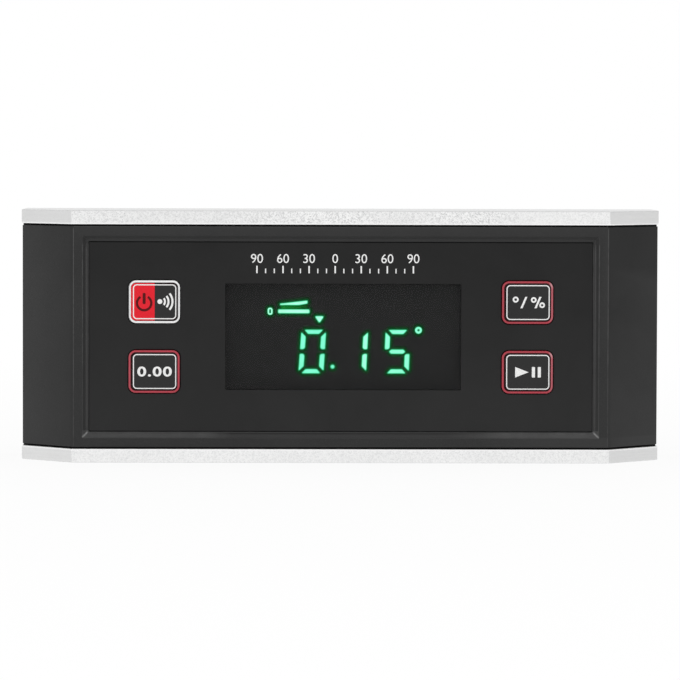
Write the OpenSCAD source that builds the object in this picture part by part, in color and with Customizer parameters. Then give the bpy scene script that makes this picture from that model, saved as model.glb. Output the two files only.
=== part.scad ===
// Digital inclinometer: an aluminium I-section frame with a grooved magnetic base, black
// front and rear shells, a recessed panel with a display and four keys, and a battery bay
// behind a hinged door at the back.
// X runs along the length, -Y is the front, +Z is up. The origin is the centre of the base.
// All sizes are in millimetres.

/* [Overall] */
// Overall length of the rails
length = 153; // [148:1:180]
// Overall depth of the rails, front to back
depth = 33; // [30:0.5:42]
// Overall height between the two measuring faces
height = 60; // [58:0.5:76]

/* [Frame] */
// Thickness of the top and bottom rails
rail_t = 3.3; // [2.8:0.1:4.2]
// Cut-back of each front corner along the length
corner_x = 12.5; // [10:0.5:13]
// Cut-back of each front corner along the depth
corner_y = 12.5; // [10:0.5:14]
// Thickness of the web between the rails
web_t = 3; // [2:0.1:3.4]
// Height of the rib where the web meets a rail
rib_h = 3; // [2:0.1:3.6]
// Width of that rib at the rail
rib_w = 15; // [12:0.5:16]
// Width of the V-groove in the base
groove_w = 8; // [5:0.5:9]
// Depth of the V-groove in the base
groove_d = 2.2; // [1.2:0.1:2.6]
// Width of the flat at the bottom of the V-groove
groove_flat = 1; // [0.4:0.1:2]

/* [Magnets] */
// Diameter of a base magnet
magnet_d = 8; // [5:0.5:9]
// Thickness of a base magnet
magnet_t = 2; // [1:0.1:2.4]
// Distance of the magnets from the front corner cuts
magnet_inset = 16; // [8:1:40]
// Depth that a magnet lies below the base face
magnet_sink = 0.1; // [0:0.05:0.3]

/* [Shells] */
// Set-back of the shells from the rail edges
shell_inset = 0.2; // [0.1:0.1:0.8]
// Set-back of the shells from the rails at the cut corners
corner_inset = 0.45; // [0.2:0.05:0.8]
// Gap between the shells and the rails
shell_gap = 0.45; // [0.1:0.05:0.5]
// Wall thickness of the shells
wall = 2; // [1.8:0.1:2.3]
// Outer diameter of the front screw bosses
boss_d = 7; // [6:0.5:8]
// Distance of the screw bosses from the front corner cuts
boss_inset = 4; // [3.5:0.5:6]
// Outer diameter of the rear screw bosses
rear_boss_d = 9; // [8:0.5:10]

/* [Front panel] */
// Flat border of the bezel around the recess
bezel_w = 2.2; // [1.5:0.05:3]
// Width of the edge of the recess, its slope and its lip together
bevel_w = 1.4; // [1:0.1:2]
// Width of the flat lip at the foot of the slope
lip_w = 0.6; // [0.3:0.1:0.8]
// Height of the lip above the panel face
lip_rise = 0.3; // [0.1:0.05:0.4]
// Depth of the recess from the bezel to the panel face
recess_d = 1; // [0.6:0.1:1.3]
// Thickness of the panel
panel_t = 1; // [0.6:0.1:1.3]
// Gap at each end of the panel
panel_end_gap = 0.05; // [0.05:0.05:0.3]
// Gap above and below the panel
panel_side_gap = 0.2; // [0.05:0.05:0.3]

/* [Display] */
// Width of the display window
window_w = 56; // [48:0.5:60]
// Height of the display window
window_h = 25.2; // [22:0.2:28]
// Shift of the window from the middle of the panel
window_shift = 0.55; // [-2:0.05:2]
// Width of the lens flange behind the panel
lens_flange_w = 2; // [1:0.1:2.6]
// Thickness of the lens flange
lens_flange_t = 0.8; // [0.5:0.1:1]
// Thickness of the foam frame behind the lens
foam_t = 0.5; // [0.3:0.1:0.8]
// Height of a digit
digit_h = 10.55; // [9:0.05:12]
// Width of a digit
digit_w = 6.1; // [5:0.05:7]
// Spacing of the digits
digit_pitch = 10.1; // [9:0.1:11]
// Width of an upright stroke
stroke_w = 1.3; // [0.9:0.02:1.6]
// Height of a level stroke
stroke_h = 1.16; // [0.9:0.02:1.6]
// Gap between the mitred ends of two strokes
stroke_gap = 0.6; // [0.1:0.05:0.8]
// Gap between the upper and lower strokes at the side of a digit
middle_gap = 0.95; // [0.5:0.05:1.2]
// Lean of the digits in degrees
digit_lean = 3.8; // [0:0.2:10]

/* [Keys] */
// Width of a key
key_w = 12.3; // [10:0.1:14]
// Height of a key
key_h = 10.3; // [9:0.1:12]
// Corner radius of a key
key_r = 1.8; // [1:0.1:3]
// Spacing of the key columns
key_span_x = 88.8; // [84:0.2:92]
// Spacing of the key rows
key_span_z = 16.6; // [15:0.2:19]
// Height of a key above the panel
key_rise = 0.5; // [0.5:0.05:0.8]
// Travel of a key
key_travel = 0.5; // [0.3:0.05:0.5]
// Gap around a key in its openings
key_gap = 0.15; // [0.1:0.05:0.3]
// Width of the coloured rim of a key
rim_w = 0.66; // [0.4:0.02:0.9]
// Depth of the key face below its rim
cap_sink = 0.2; // [0:0.05:0.4]
// Height of the coloured rim
rim_h = 1.2; // [0.8:0.1:1.6]
// Width of the retaining flange of a key
flange_w = 0.8; // [0.5:0.1:1.2]
// Thickness of the retaining flange
flange_t = 1; // [0.8:0.1:1.2]

/* [Main board] */
// Thickness of the circuit board
board_t = 1.6; // [1:0.1:1.8]
// Diameter of a board standoff
standoff_d = 5; // [4:0.5:6]
// Side of a key switch
switch_w = 6; // [5:0.1:7]
// Height of a key switch without its plunger
switch_h = 3.5; // [3:0.1:3.8]
// Diameter of a switch plunger
plunger_d = 3.4; // [2.5:0.1:4]
// Height of a plunger above its switch
plunger_out = 0.95; // [0.8:0.05:1.2]

/* [Battery] */
// Diameter of a cell
cell_d = 10.5; // [10:0.1:10.5]
// Length of a cell over its terminal
cell_l = 44.5; // [43:0.1:46]
// Space between the two cells
cell_gap = 1; // [0.5:0.1:2]
// Compressed length of a battery spring
spring_l = 5; // [4.4:0.1:6]
// Wall thickness of the battery bay
bay_wall = 1; // [0.8:0.1:1.2]
// Gap around the battery door
door_gap = 0.2; // [0.1:0.05:0.3]
// Overlap of the battery door on its ledge
ledge_w = 2; // [1.2:0.1:3]
// Diameter of the door's hinge pins
hinge_pin_d = 1.1; // [0.8:0.05:1.2]
// Length of the door's hinge pins
hinge_pin_l = 1.2; // [0.8:0.1:2]

/* [Hidden] */
$fn = 64;

ALUMINIUM = "#dcdcda";
BLACK_SHELL = "#353535";
BLACK_PANEL = "#2c2c2c";
SMOKED = "#202222";
LIT_GREEN = "#5dffb0";
RIM_RED = "#b03a48";
RIM_WHITE = "#f2f2f2";
KEY_BLACK = "#2a2a2a";
BOARD_GREEN = "#1d5a3a";
CHIP_BLACK = "#1a1a1c";
NICKEL = "#c8c6c0";
STEEL = "#9a9a9c";
BRASS = "#b8923c";
FOAM = "#222222";
CELL_WRAP = "#2f4f78";
WHITE_PLASTIC = "#e6e4dc";
CERAMIC = "#9c7a4a";
WIRE_RED = "#a82020";
WIRE_BLACK = "#181818";

// Small clearances that repeat
seat_gap = 0.05;
core_gap = 0.5;
cut = 1;

// Heights that the pieces share
mid_z = height / 2;
shell_z0 = rail_t + shell_gap;
shell_z1 = height - shell_z0;

// Stack of the front half, from the bezel back to the board
front_y = -depth / 2 + shell_inset;
panel_y = front_y + recess_d;
lip_y = panel_y - lip_rise;
seat_y = panel_y + panel_t;
inner_y = seat_y + wall;
flange_y = inner_y + seat_gap;
stem_y = flange_y + flange_t;
switch_y = stem_y + plunger_out;
board_y = switch_y + switch_h;
board_back_y = board_y + board_t;
lens_back_y = seat_y + lens_flange_t;
display_y = lens_back_y + foam_t;

// Stack of the rear half, from the rear face in to the web
rear_y = depth / 2 - shell_inset;
door_in_y = rear_y - wall;
cell_play = 0.35;
cell_y = door_in_y - cell_play - cell_d / 2;
bay_y = cell_y - cell_d / 2 - cell_play / 2;

// Web, in the middle of the rails, where the two shells meet
web_front_y = -web_t / 2;
web_back_y = web_t / 2;
split_y = 0;

// Front face, recess and panel outlines
front_half = length / 2 - corner_x;
bezel_half_x = front_half + (shell_inset * corner_x - corner_inset * norm([corner_x, corner_y])) / corner_y;
bezel_half_z = (shell_z1 - shell_z0) / 2;
recess_x = bezel_half_x - bezel_w;
recess_z = bezel_half_z - bezel_w;
pocket_x = recess_x - bevel_w;
pocket_z = recess_z - bevel_w;

// Display
window_at = [window_shift, mid_z];
lens_w = window_w + 2 * lens_flange_w;
lens_h = window_h + 2 * lens_flange_w;
lens_gap = 0.3;
lens_sink = 0.05;
segment_t = 0.15;
digits_down = 3.57;
digits_z = mid_z - digits_down;
zero_x = -6.76;
pin_d = 0.6;
pin_pitch = 5.08;
pin_count = 8;
pin_hole_gap = 0.2;
pin_tail = 0.8;
pin_edge = 2;

// Keys
power_at = [-key_span_x / 2, mid_z + key_span_z / 2];
zero_at = [-key_span_x / 2, mid_z - key_span_z / 2];
mode_at = [key_span_x / 2, mid_z + key_span_z / 2];
hold_at = [key_span_x / 2, mid_z - key_span_z / 2];
keys_at = [power_at, zero_at, mode_at, hold_at];
key_y = panel_y - key_rise;
flange_out_h = key_h + 2 * flange_w;

// Screws and bosses
boss_x = front_half - boss_inset;
boss_room = 2.1;
boss_z = height / 2 - rail_t - rib_h - boss_d / 2 - boss_room;
bosses_at = [for (sx = [-1, 1], sz = [-1, 1]) [sx * boss_x, mid_z + sz * boss_z]];
insert_d = 4.6;
insert_l = 5;
screw_d = 3;
screw_hole_d = 3.4;
screw_head_d = 5.6;
screw_head_h = 2;
head_bore_d = 6.2;
head_sink = 1.2;
head_seat_y = rear_y - head_sink - screw_head_h;
small_screw_d = 1.9;
small_head_d = 3.8;
small_head_h = 1.3;
small_hole_d = 2.2;
thread_gap = 0.04;
small_screw_bite = 4;
tip_room = 0.5;

// Main board
board_gap = 1;
board_hole_in = 3;
board_half_x = boss_x - boss_d / 2 - board_gap;
board_hole_x = board_half_x - board_hole_in;
board_hole_z = key_span_z / 2 + flange_out_h / 2 + standoff_d / 2 + core_gap;
board_half_z = board_hole_z + board_hole_in;
board_holes_at = [
    for (sx = [-1, 1], sz = [-1, 1]) [sx * board_hole_x, mid_z + sz * board_hole_z],
];
plunger_seat = 0.6;

// Sensor board on the back of the web
sensor_w = 16;
sensor_h = 14;
sensor_t = 1;
sensor_gap = 3;
sensor_x = -boss_x + rear_boss_d / 2 + sensor_w / 2 + sensor_gap;
sensor_chip_w = 5;
sensor_chip_t = 1;
header_w = 2.5;
header_h = sensor_h - 3;
sensor_y = web_back_y + sensor_t;
header_gap = 0.8;
sensor_hole_in = 2.6;
sensor_hole_x = sensor_x - sensor_w / 2 + sensor_hole_in;
header_at = [sensor_x + sensor_w / 2 - header_w, mid_z];
sensor_holes_at = [for (sz = [-1, 1]) [sensor_hole_x, mid_z + sz * (sensor_h / 2 - sensor_hole_in)]];

// Battery bay and its door
contact_t = 0.4;
contact_w = 8.6;
contact_h = 9;
nub_d = 3.8;
nub_l = 1;
bay_l = cell_l + spring_l + 2 * contact_t;
bay_h = 2 * cell_d + cell_gap + cell_play;
cell_dz = (cell_d + cell_gap) / 2;
door_x1 = bay_l / 2 + ledge_w;
door_seat = 0.1;
door_t = wall - door_seat;
door_y = rear_y - door_t;
hinge_x = -bay_l / 2 - ledge_w + door_t / 2;
hinge_y = rear_y - door_t / 2;
door_half_z = bay_h / 2 + ledge_w;
ledge_t = 1.6;
pin_fit = 0.05;
bead_r = 0.35;
bead_out = 0.25;
bead_l = 8;
scoop_d = 13;
scoop_t = 1.1;
pad_t = cell_play + door_seat - seat_gap;

// Coil of a battery spring
wire_d = 0.7;
spring_r0 = 3.6;
spring_r1 = 2.5;
spring_turns = 3.5;
rings_per_turn = 8;
ring_sides = 6;

// Leads from the battery contacts to the board
lead_d = 1.2;
lead_bend = 2.4;
tab_out = 2.6;
tab_w = 2.4;
lead_start_x = bay_l / 2 + bay_wall + tab_out;
lead_x = lead_start_x + lead_bend + 0.4;
lead_room = 3;
bay_room_gap = 1;

// Outline of the rails seen from above, drawn in by one distance at the cut corners and another elsewhere
module plan(inset, at_corners) {
    slope = norm([corner_x, corner_y]);
    x_end = length / 2 - inset;
    y_end = -depth / 2 + corner_y + (at_corners * slope - inset * corner_y) / corner_x;
    x_front = length / 2 - corner_x + (inset * corner_x - at_corners * slope) / corner_y;
    y_front = -depth / 2 + inset;
    y_back = depth / 2 - inset;
    polygon([
        [-x_end, y_back], [x_end, y_back], [x_end, y_end], [x_front, y_front],
        [-x_front, y_front], [-x_end, y_end],
    ]);
}

// Outline of the shells seen from above, or of what lies a set distance inside it
module shell_plan(inside = 0) {
    plan(shell_inset + inside, corner_inset + inside);
}

// Solid from an outline in X and Z, between two depths
module along_y(y0, y1) {
    translate([0, y1, 0]) rotate([90, 0, 0]) linear_extrude(y1 - y0) children();
}

// Solid from an outline in Y and Z, between two places along the length
module along_x(x0, x1) {
    translate([x0, 0, 0]) rotate([90, 0, 90]) linear_extrude(x1 - x0) children();
}

// Round bar along Y at a place in X and Z
module rod_y(at, d, y0, y1) {
    translate([at[0], y1, at[1]]) rotate([90, 0, 0]) cylinder(d = d, h = y1 - y0);
}

// Box between two corners
module block(low, high) {
    translate(low) cube(high - low);
}

// Upright block on a centre in X and Z, between two depths
module plate_y(at, w, h, y0, y1) {
    block([at[0] - w / 2, y0, at[1] - h / 2], [at[0] + w / 2, y1, at[1] + h / 2]);
}

module rounded_rect(w, h, r) {
    square([w, h - 2 * r], center = true);
    square([w - 2 * r, h], center = true);
    for (sx = [-1, 1], sz = [-1, 1])
        translate([sx * (w / 2 - r), sz * (h / 2 - r)]) circle(r);
}

// Everything in front of, or behind, a plane across the depth
module front_of(y) {
    translate([-length, -depth]) square([2 * length, depth + y]);
}

module behind(y) {
    translate([-length, y]) square([2 * length, depth - y]);
}

// Frame: rails, ribs and web of one extrusion

module rib_section() {
    polygon([
        [-rib_w / 2, rail_t - cut], [rib_w / 2, rail_t - cut], [rib_w / 2, rail_t],
        [rib_w / 2 - rib_h, rail_t + rib_h], [-rib_w / 2 + rib_h, rail_t + rib_h],
        [-rib_w / 2, rail_t],
    ]);
}

module groove_section() {
    polygon([
        [-groove_w / 2 - groove_slope, -cut], [-groove_flat / 2, groove_d],
        [groove_flat / 2, groove_d], [groove_w / 2 + groove_slope, -cut],
    ]);
}
groove_slope = cut * (groove_w - groove_flat) / 2 / groove_d;

module core() {
    intersection() {
        union() {
            along_x(-length / 2, length / 2) rib_section();
            translate([0, 0, height]) mirror([0, 0, 1])
                along_x(-length / 2, length / 2) rib_section();
            block([-length / 2, web_front_y, rail_t - cut],
                [length / 2, web_back_y, height - rail_t + cut]);
        }
        linear_extrude(height) shell_plan(wall + core_gap);
    }
}

bay_window_z = bay_h / 2 + bay_wall + bay_room_gap;
magnet_x = front_half - magnet_inset;
magnet_y = (groove_w / 2 + depth / 2) / 2;
magnets_at = [for (sx = [-1, 1], sy = [-1, 1]) [sx * magnet_x, sy * magnet_y]];

module frame() {
    color(ALUMINIUM) difference() {
        union() {
            linear_extrude(rail_t) plan(0, 0);
            translate([0, 0, height - rail_t]) linear_extrude(rail_t) plan(0, 0);
            core();
        }
        along_x(-length, length) groove_section();
        for (p = magnets_at)
            translate([p[0], p[1], -cut])
                cylinder(d = magnet_d + 2 * seat_gap, h = cut + magnet_sink + magnet_t);
        for (p = bosses_at) rod_y(p, screw_hole_d, web_front_y - cut, web_back_y + cut);
        for (p = sensor_holes_at)
            rod_y(p, small_screw_d + thread_gap, web_front_y - cut, web_back_y + cut);
        plate_y(header_at, header_w + 2 * header_gap, header_h + 2 * header_gap,
            web_front_y - cut, web_back_y + cut);
        block([-bay_l / 2 - bay_wall - bay_room_gap, web_front_y - cut, mid_z - bay_window_z],
            [lead_x + lead_room, web_back_y + cut, mid_z + bay_window_z]);
    }
}

module magnets() {
    color(NICKEL) for (p = magnets_at)
        translate([p[0], p[1], magnet_sink]) cylinder(d = magnet_d, h = magnet_t);
}

// Front housing: bezel, corner walls, screw bosses and board standoffs

module shell_block(y_low, y_high) {
    translate([0, 0, shell_z0]) linear_extrude(shell_z1 - shell_z0) intersection() {
        shell_plan();
        behind(y_low);
        front_of(y_high);
    }
}

module shell_cavity(y_low, y_high) {
    inside_h = shell_z1 - shell_z0 - 2 * wall;
    translate([0, 0, shell_z0 + wall]) linear_extrude(inside_h) intersection() {
        shell_plan(wall);
        behind(y_low);
        front_of(y_high);
    }
}

// Room for the frame's ribs, through the top and bottom walls of a shell
module rib_room() {
    room_h = shell_z1 - shell_z0 + 2 * cut;
    translate([0, 0, shell_z0 - cut]) linear_extrude(room_h) intersection() {
        shell_plan(wall);
        behind(-rib_w / 2 - core_gap);
        front_of(rib_w / 2 + core_gap);
    }
}

// Recess with sloped edges, from the bezel down to the lip round the panel
module recess() {
    lip_x = pocket_x + lip_w;
    lip_z = pocket_z + lip_w;
    slope = cut * (bevel_w - lip_w) / (lip_y - front_y);
    intersection() {
        linear_extrude(height) polygon([
            [-recess_x - slope, front_y - cut], [recess_x + slope, front_y - cut],
            [lip_x, lip_y], [-lip_x, lip_y],
        ]);
        along_x(-length, length) polygon([
            [front_y - cut, mid_z - recess_z - slope], [front_y - cut, mid_z + recess_z + slope],
            [lip_y, mid_z + lip_z], [lip_y, mid_z - lip_z],
        ]);
    }
}

module key_opening(at, y0, y1) {
    along_y(y0, y1) translate(at)
        rounded_rect(key_w + 2 * key_gap, key_h + 2 * key_gap, key_r + key_gap);
}

module front_housing() {
    color(BLACK_SHELL) difference() {
        union() {
            difference() {
                shell_block(front_y - cut, split_y);
                shell_cavity(inner_y, split_y + cut);
                rib_room();
            }
            for (p = bosses_at) rod_y(p, boss_d, inner_y - wall / 2, web_front_y);
            for (p = board_holes_at) rod_y(p, standoff_d, inner_y - wall / 2, board_y);
        }
        recess();
        plate_y([0, mid_z], 2 * pocket_x, 2 * pocket_z, lip_y - cut / 2, seat_y);
        plate_y(window_at, lens_w + 2 * lens_gap, lens_h + 2 * lens_gap, seat_y - cut, inner_y + cut);
        for (p = keys_at) key_opening(p, seat_y - cut, inner_y + cut);
        for (p = bosses_at) {
            rod_y(p, insert_d + thread_gap, web_front_y - insert_l - seat_gap, web_front_y + cut);
            rod_y(p, screw_d + 2 * thread_gap, web_front_y - insert_l - tip_room, web_front_y);
        }
        for (p = board_holes_at)
            rod_y(p, small_screw_d + thread_gap, board_y - small_screw_bite - tip_room, board_y + cut);
    }
}

module thread_inserts() {
    color(BRASS) for (p = bosses_at) difference() {
        rod_y(p, insert_d, web_front_y - insert_l, web_front_y - seat_gap);
        rod_y(p, screw_d + thread_gap, web_front_y - insert_l - cut, web_front_y + cut);
    }
}

// Panel, lens and display

module front_panel() {
    color(BLACK_PANEL) difference() {
        plate_y([0, mid_z], 2 * (pocket_x - panel_end_gap), 2 * (pocket_z - panel_side_gap), panel_y, seat_y);
        plate_y(window_at, window_w + 2 * seat_gap, window_h + 2 * seat_gap, panel_y - cut, seat_y + cut);
        for (p = keys_at) key_opening(p, panel_y - cut, seat_y + cut);
    }
}

module display_window() {
    color(SMOKED) union() {
        plate_y(window_at, window_w, window_h, panel_y + lens_sink, seat_y + lens_flange_t / 2);
        plate_y(window_at, lens_w, lens_h, seat_y, lens_back_y);
    }
}

module window_foam() {
    color(FOAM) difference() {
        plate_y(window_at, lens_w, lens_h, lens_back_y, display_y);
        plate_y(window_at, window_w, window_h, lens_back_y - cut, display_y + cut);
    }
}

module display_body() {
    color(CHIP_BLACK) plate_y(window_at, lens_w, lens_h, display_y, board_y);
}

display_pins_at = [
    for (i = [0:pin_count - 1], sz = [-1, 1])
        [window_shift + (i - (pin_count - 1) / 2) * pin_pitch, mid_z + sz * (lens_h / 2 - pin_edge)],
];

module display_pins() {
    color(NICKEL) for (p = display_pins_at) rod_y(p, pin_d, board_y, board_back_y + pin_tail);
}

// Mitred stroke along the top of a digit, its long side outwards
module end_stroke() {
    x = digit_w / 2 - stroke_gap / sqrt(2);
    z = digit_h / 2;
    polygon([[-x, z], [x, z], [x - stroke_h, z - stroke_h], [-x + stroke_h, z - stroke_h]]);
}

// Upper right stroke of a digit: mitred at the top and blunt towards the middle
module side_stroke() {
    x = digit_w / 2;
    top = digit_h / 2 - stroke_gap / sqrt(2);
    low = middle_gap / 2;
    polygon([
        [x, top], [x - stroke_w, top - stroke_w], [x - stroke_w, low + 2 * stroke_trim],
        [x - stroke_w + 2 * stroke_trim, low], [x - stroke_trim, low], [x, low + stroke_trim],
    ]);
}

// Pointed stroke across the middle of a digit
module middle_stroke() {
    x = digit_w / 2 - stroke_w + stroke_trim;
    z = stroke_h / 2;
    polygon([[-x, 0], [-x + z, z], [x - z, z], [x, 0], [x - z, -z], [-x + z, -z]]);
}

// Seven-stroke digit: strokes 0 to 5 run clockwise from the top one, and 6 is the middle one
module digit(strokes) {
    for (i = strokes) {
        if (i == 0) end_stroke();
        if (i == 1) side_stroke();
        if (i == 2) mirror([0, 1]) side_stroke();
        if (i == 3) mirror([0, 1]) end_stroke();
        if (i == 4) rotate(180) side_stroke();
        if (i == 5) mirror([1, 0]) side_stroke();
        if (i == 6) middle_stroke();
    }
}

DIGIT_0 = [0, 1, 2, 3, 4, 5];
DIGIT_1 = [1, 2];
DIGIT_5 = [0, 2, 3, 5, 6];

// Lean of the digits, as a shear of X by Z
lean = [[1, tan(digit_lean), 0, 0], [0, 1, 0, 0], [0, 0, 1, 0], [0, 0, 0, 1]];

stroke_trim = 0.2;
point_r = 0.55;
degree_r = 0.85;
degree_hole_r = 0.24;
point_out = 1.74;
point_up = 1.66;
degree_out = 2.04;
degree_down = 0.15;
bar_x = -4.44;
bar_up = 4.3;
bar_l = 7.68;
bar_t = 1.1;
wedge_up = 5.7;
wedge_l = 6.7;
wedge_flat = 4.6;
wedge_rise = 0.38;
wedge_t0 = 0.5;
wedge_t1 = 0.92;
mark_x = 1.65;
mark_up = 2.3;
mark_w = 2.65;
mark_h = 1.95;
nought_out = 1.81;
nought_w = 1.26;
nought_h = 1.78;
nought_t = 0.45;

// The reading and the small signs round it, drawn on the middle of the '0' digit
module reading() {
    digit(DIGIT_0);
    translate([digit_pitch, 0]) digit(DIGIT_1);
    translate([2 * digit_pitch, 0]) digit(DIGIT_5);
}

module signs() {
    translate([digit_w / 2 + point_out, -digit_h / 2 + point_up]) circle(point_r);
    translate([2 * digit_pitch + digit_w / 2 + degree_out, digit_h / 2 - degree_down]) difference() {
        circle(degree_r);
        circle(degree_hole_r);
    }
    translate([bar_x, digit_h / 2 + bar_up]) square([bar_l, bar_t], center = true);
    translate([bar_x - wedge_l / 2, digit_h / 2 + wedge_up]) polygon([
        [0, 0], [wedge_flat, 0], [wedge_l, wedge_rise],
        [wedge_l, wedge_rise + wedge_t1], [0, wedge_t0],
    ]);
    translate([mark_x, digit_h / 2 + mark_up])
        polygon([[-mark_w / 2, mark_h / 2], [0, -mark_h / 2], [mark_w / 2, mark_h / 2]]);
    translate([bar_x - bar_l / 2 - nought_out, digit_h / 2 + bar_up]) difference() {
        rounded_rect(nought_w, nought_h, nought_w * 0.45);
        rounded_rect(nought_w - 2 * nought_t, nought_h - 2 * nought_t, nought_w / 2 - nought_t - seat_gap);
    }
}

module lit_segments() {
    color(LIT_GREEN) translate([zero_x, 0, digits_z]) along_y(display_y - segment_t, display_y) {
        multmatrix(lean) reading();
        signs();
    }
}

// Keys: black cap with a retaining flange, coloured rim, and the switch plunger behind it

module key_cap(at) {
    color(KEY_BLACK) difference() {
        union() {
            along_y(key_y + cap_sink, stem_y) translate(at) rounded_rect(key_w, key_h, key_r);
            plate_y(at, key_w + 2 * flange_w, flange_out_h, flange_y, stem_y);
        }
        along_y(key_y - cut, key_y + rim_h) translate(at) difference() {
            rounded_rect(key_w + cut, key_h + cut, key_r);
            rounded_rect(key_w - 2 * rim_w, key_h - 2 * rim_w, key_r - rim_w);
        }
    }
}

module key_rim(at, shade) {
    color(shade) along_y(key_y, key_y + rim_h) translate(at) difference() {
        rounded_rect(key_w, key_h, key_r);
        rounded_rect(key_w - 2 * rim_w, key_h - 2 * rim_w, key_r - rim_w);
    }
}

module switch_plunger(at) {
    color(WHITE_PLASTIC) rod_y(at, plunger_d, stem_y, switch_y + plunger_seat);
}

// Main board and what is soldered to it

module main_board() {
    color(BOARD_GREEN) difference() {
        plate_y([0, mid_z], 2 * board_half_x, 2 * board_half_z, board_y, board_back_y);
        for (p = board_holes_at) rod_y(p, small_hole_d, board_y - cut, board_back_y + cut);
        for (p = display_pins_at) rod_y(p, pin_d + pin_hole_gap, board_y - cut, board_back_y + cut);
    }
}

module switch_bases() {
    color(CHIP_BLACK) for (p = keys_at) difference() {
        plate_y(p, switch_w, switch_w, switch_y, board_y);
        rod_y(p, plunger_d + 2 * key_gap, switch_y - cut, switch_y + plunger_seat + key_travel + key_gap);
    }
}

chip_w = 10;
chip_t = 1.6;
chip_at = [8, mid_z];
crystal_w = 4.5;
crystal_h = 2.2;
crystal_t = 1.2;
crystal_at = chip_at + [chip_w, chip_w / 2];
capacitor_w = 1.3;
capacitor_h = 2;
capacitor_t = 1;
capacitor_pitch = 2.4;
capacitor_count = 4;
capacitors_at = chip_at + [chip_w, -chip_w / 2];

module controller_chip() {
    color(CHIP_BLACK) plate_y(chip_at, chip_w, chip_w, board_back_y, board_back_y + chip_t);
}

module crystal() {
    color(NICKEL) plate_y(crystal_at, crystal_w, crystal_h, board_back_y, board_back_y + crystal_t);
}

module capacitors() {
    color(CERAMIC) for (i = [0:capacitor_count - 1])
        plate_y(capacitors_at + [capacitor_pitch * i, 0], capacitor_w, capacitor_h,
            board_back_y, board_back_y + capacitor_t);
}

buzzer_d = 12;
buzzer_t = 2.4;
buzzer_port_d = 2;
buzzer_at = [-14, mid_z];

module buzzer() {
    color(CHIP_BLACK) difference() {
        rod_y(buzzer_at, buzzer_d, board_back_y, board_back_y + buzzer_t);
        rod_y(buzzer_at, buzzer_port_d, board_back_y + buzzer_t / 2, board_back_y + buzzer_t + cut);
    }
}

// Round-headed screw with a cross recess, its head seat at head_y and its head towards +Y
module screw(at, d, l, head_d, head_h, head_y) {
    difference() {
        union() {
            rod_y(at, d, head_y - l, head_y + head_h / 2);
            rod_y(at, head_d, head_y, head_y + head_h);
        }
        for (turn = [0, 90]) translate([at[0], head_y + head_h, at[1]]) rotate([0, turn, 0])
            cube([head_d * 0.6, head_h, head_d * 0.14], center = true);
    }
}

module board_screws() {
    color(STEEL) for (p = board_holes_at)
        screw(p, small_screw_d, board_t + small_screw_bite, small_head_d, small_head_h, board_back_y);
}

// Tilt sensor on its own small board, fixed to the back of the web and joined to the main board

module sensor_board() {
    color(BOARD_GREEN) difference() {
        plate_y([sensor_x, mid_z], sensor_w, sensor_h, web_back_y, sensor_y);
        for (p = sensor_holes_at) rod_y(p, small_hole_d, web_back_y - cut, sensor_y + cut);
    }
}

module tilt_sensor() {
    color(CHIP_BLACK)
        plate_y([sensor_x, mid_z], sensor_chip_w, sensor_chip_w, sensor_y, sensor_y + sensor_chip_t);
}

module sensor_header() {
    color(CHIP_BLACK) plate_y(header_at, header_w, header_h, board_back_y, web_back_y);
}

module sensor_screws() {
    color(STEEL) for (p = sensor_holes_at)
        screw(p, small_screw_d, sensor_t + web_t, small_head_d, small_head_h, sensor_y);
}

// Rear cover: end walls, screw bosses, battery bay, ledge and hinge sockets for the door

door_recess_x0 = hinge_x - door_t / 2 - door_gap;
door_recess_x1 = door_x1 + door_gap;
door_recess_z = door_half_z + door_gap;

module bay_walls() {
    block([-bay_l / 2 - bay_wall, bay_y - bay_wall, mid_z - bay_h / 2 - bay_wall],
        [bay_l / 2 + bay_wall, door_in_y, mid_z + bay_h / 2 + bay_wall]);
    block([door_recess_x0 - bay_wall, door_in_y - ledge_t, mid_z - door_recess_z - bay_wall],
        [door_recess_x1 + bay_wall, door_in_y + wall / 2, mid_z + door_recess_z + bay_wall]);
}

module bay_room() {
    plate_y([0, mid_z], bay_l, bay_h, bay_y, rear_y + cut);
    block([door_recess_x0, door_in_y, mid_z - door_recess_z],
        [door_recess_x1, rear_y + cut, mid_z + door_recess_z]);
}

// Slots for the solder tabs of the two end contacts
module tab_slots() {
    slot_half_y = tab_w / 2 + seat_gap;
    slot_half_z = contact_t / 2 + seat_gap;
    for (z = [mid_z - cell_dz, mid_z + cell_dz])
        block([bay_l / 2 - cut, cell_y - slot_half_y, z - slot_half_z],
            [bay_l / 2 + bay_wall + cut, cell_y + slot_half_y, z + slot_half_z]);
}

module rear_cover() {
    color(BLACK_SHELL) difference() {
        union() {
            difference() {
                shell_block(split_y, rear_y + cut);
                shell_cavity(split_y - cut, door_in_y);
                rib_room();
            }
            for (p = bosses_at) rod_y(p, rear_boss_d, web_back_y, rear_y - wall / 2);
            bay_walls();
        }
        bay_room();
        tab_slots();
        for (p = bosses_at) {
            rod_y(p, screw_hole_d, web_back_y - cut, rear_y);
            rod_y(p, head_bore_d, head_seat_y, rear_y + cut);
        }
        translate([hinge_x, hinge_y, mid_z - door_recess_z - hinge_pin_l])
            cylinder(d = hinge_pin_d + 2 * pin_fit, h = 2 * (door_recess_z + hinge_pin_l));
        translate([door_recess_x1 - bead_r + bead_out + seat_gap, hinge_y, mid_z - bead_l / 2 - seat_gap])
            cylinder(r = bead_r + seat_gap, h = bead_l + 2 * seat_gap);
        rod_y([door_recess_x1, mid_z], scoop_d, rear_y - scoop_t, rear_y + cut);
    }
}

module cover_screws() {
    shank = head_seat_y - web_front_y + insert_l;
    color(STEEL) for (p = bosses_at)
        screw(p, screw_d, shank, screw_head_d, screw_head_h, head_seat_y);
}

// Battery contacts, springs, cells and leads

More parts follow.
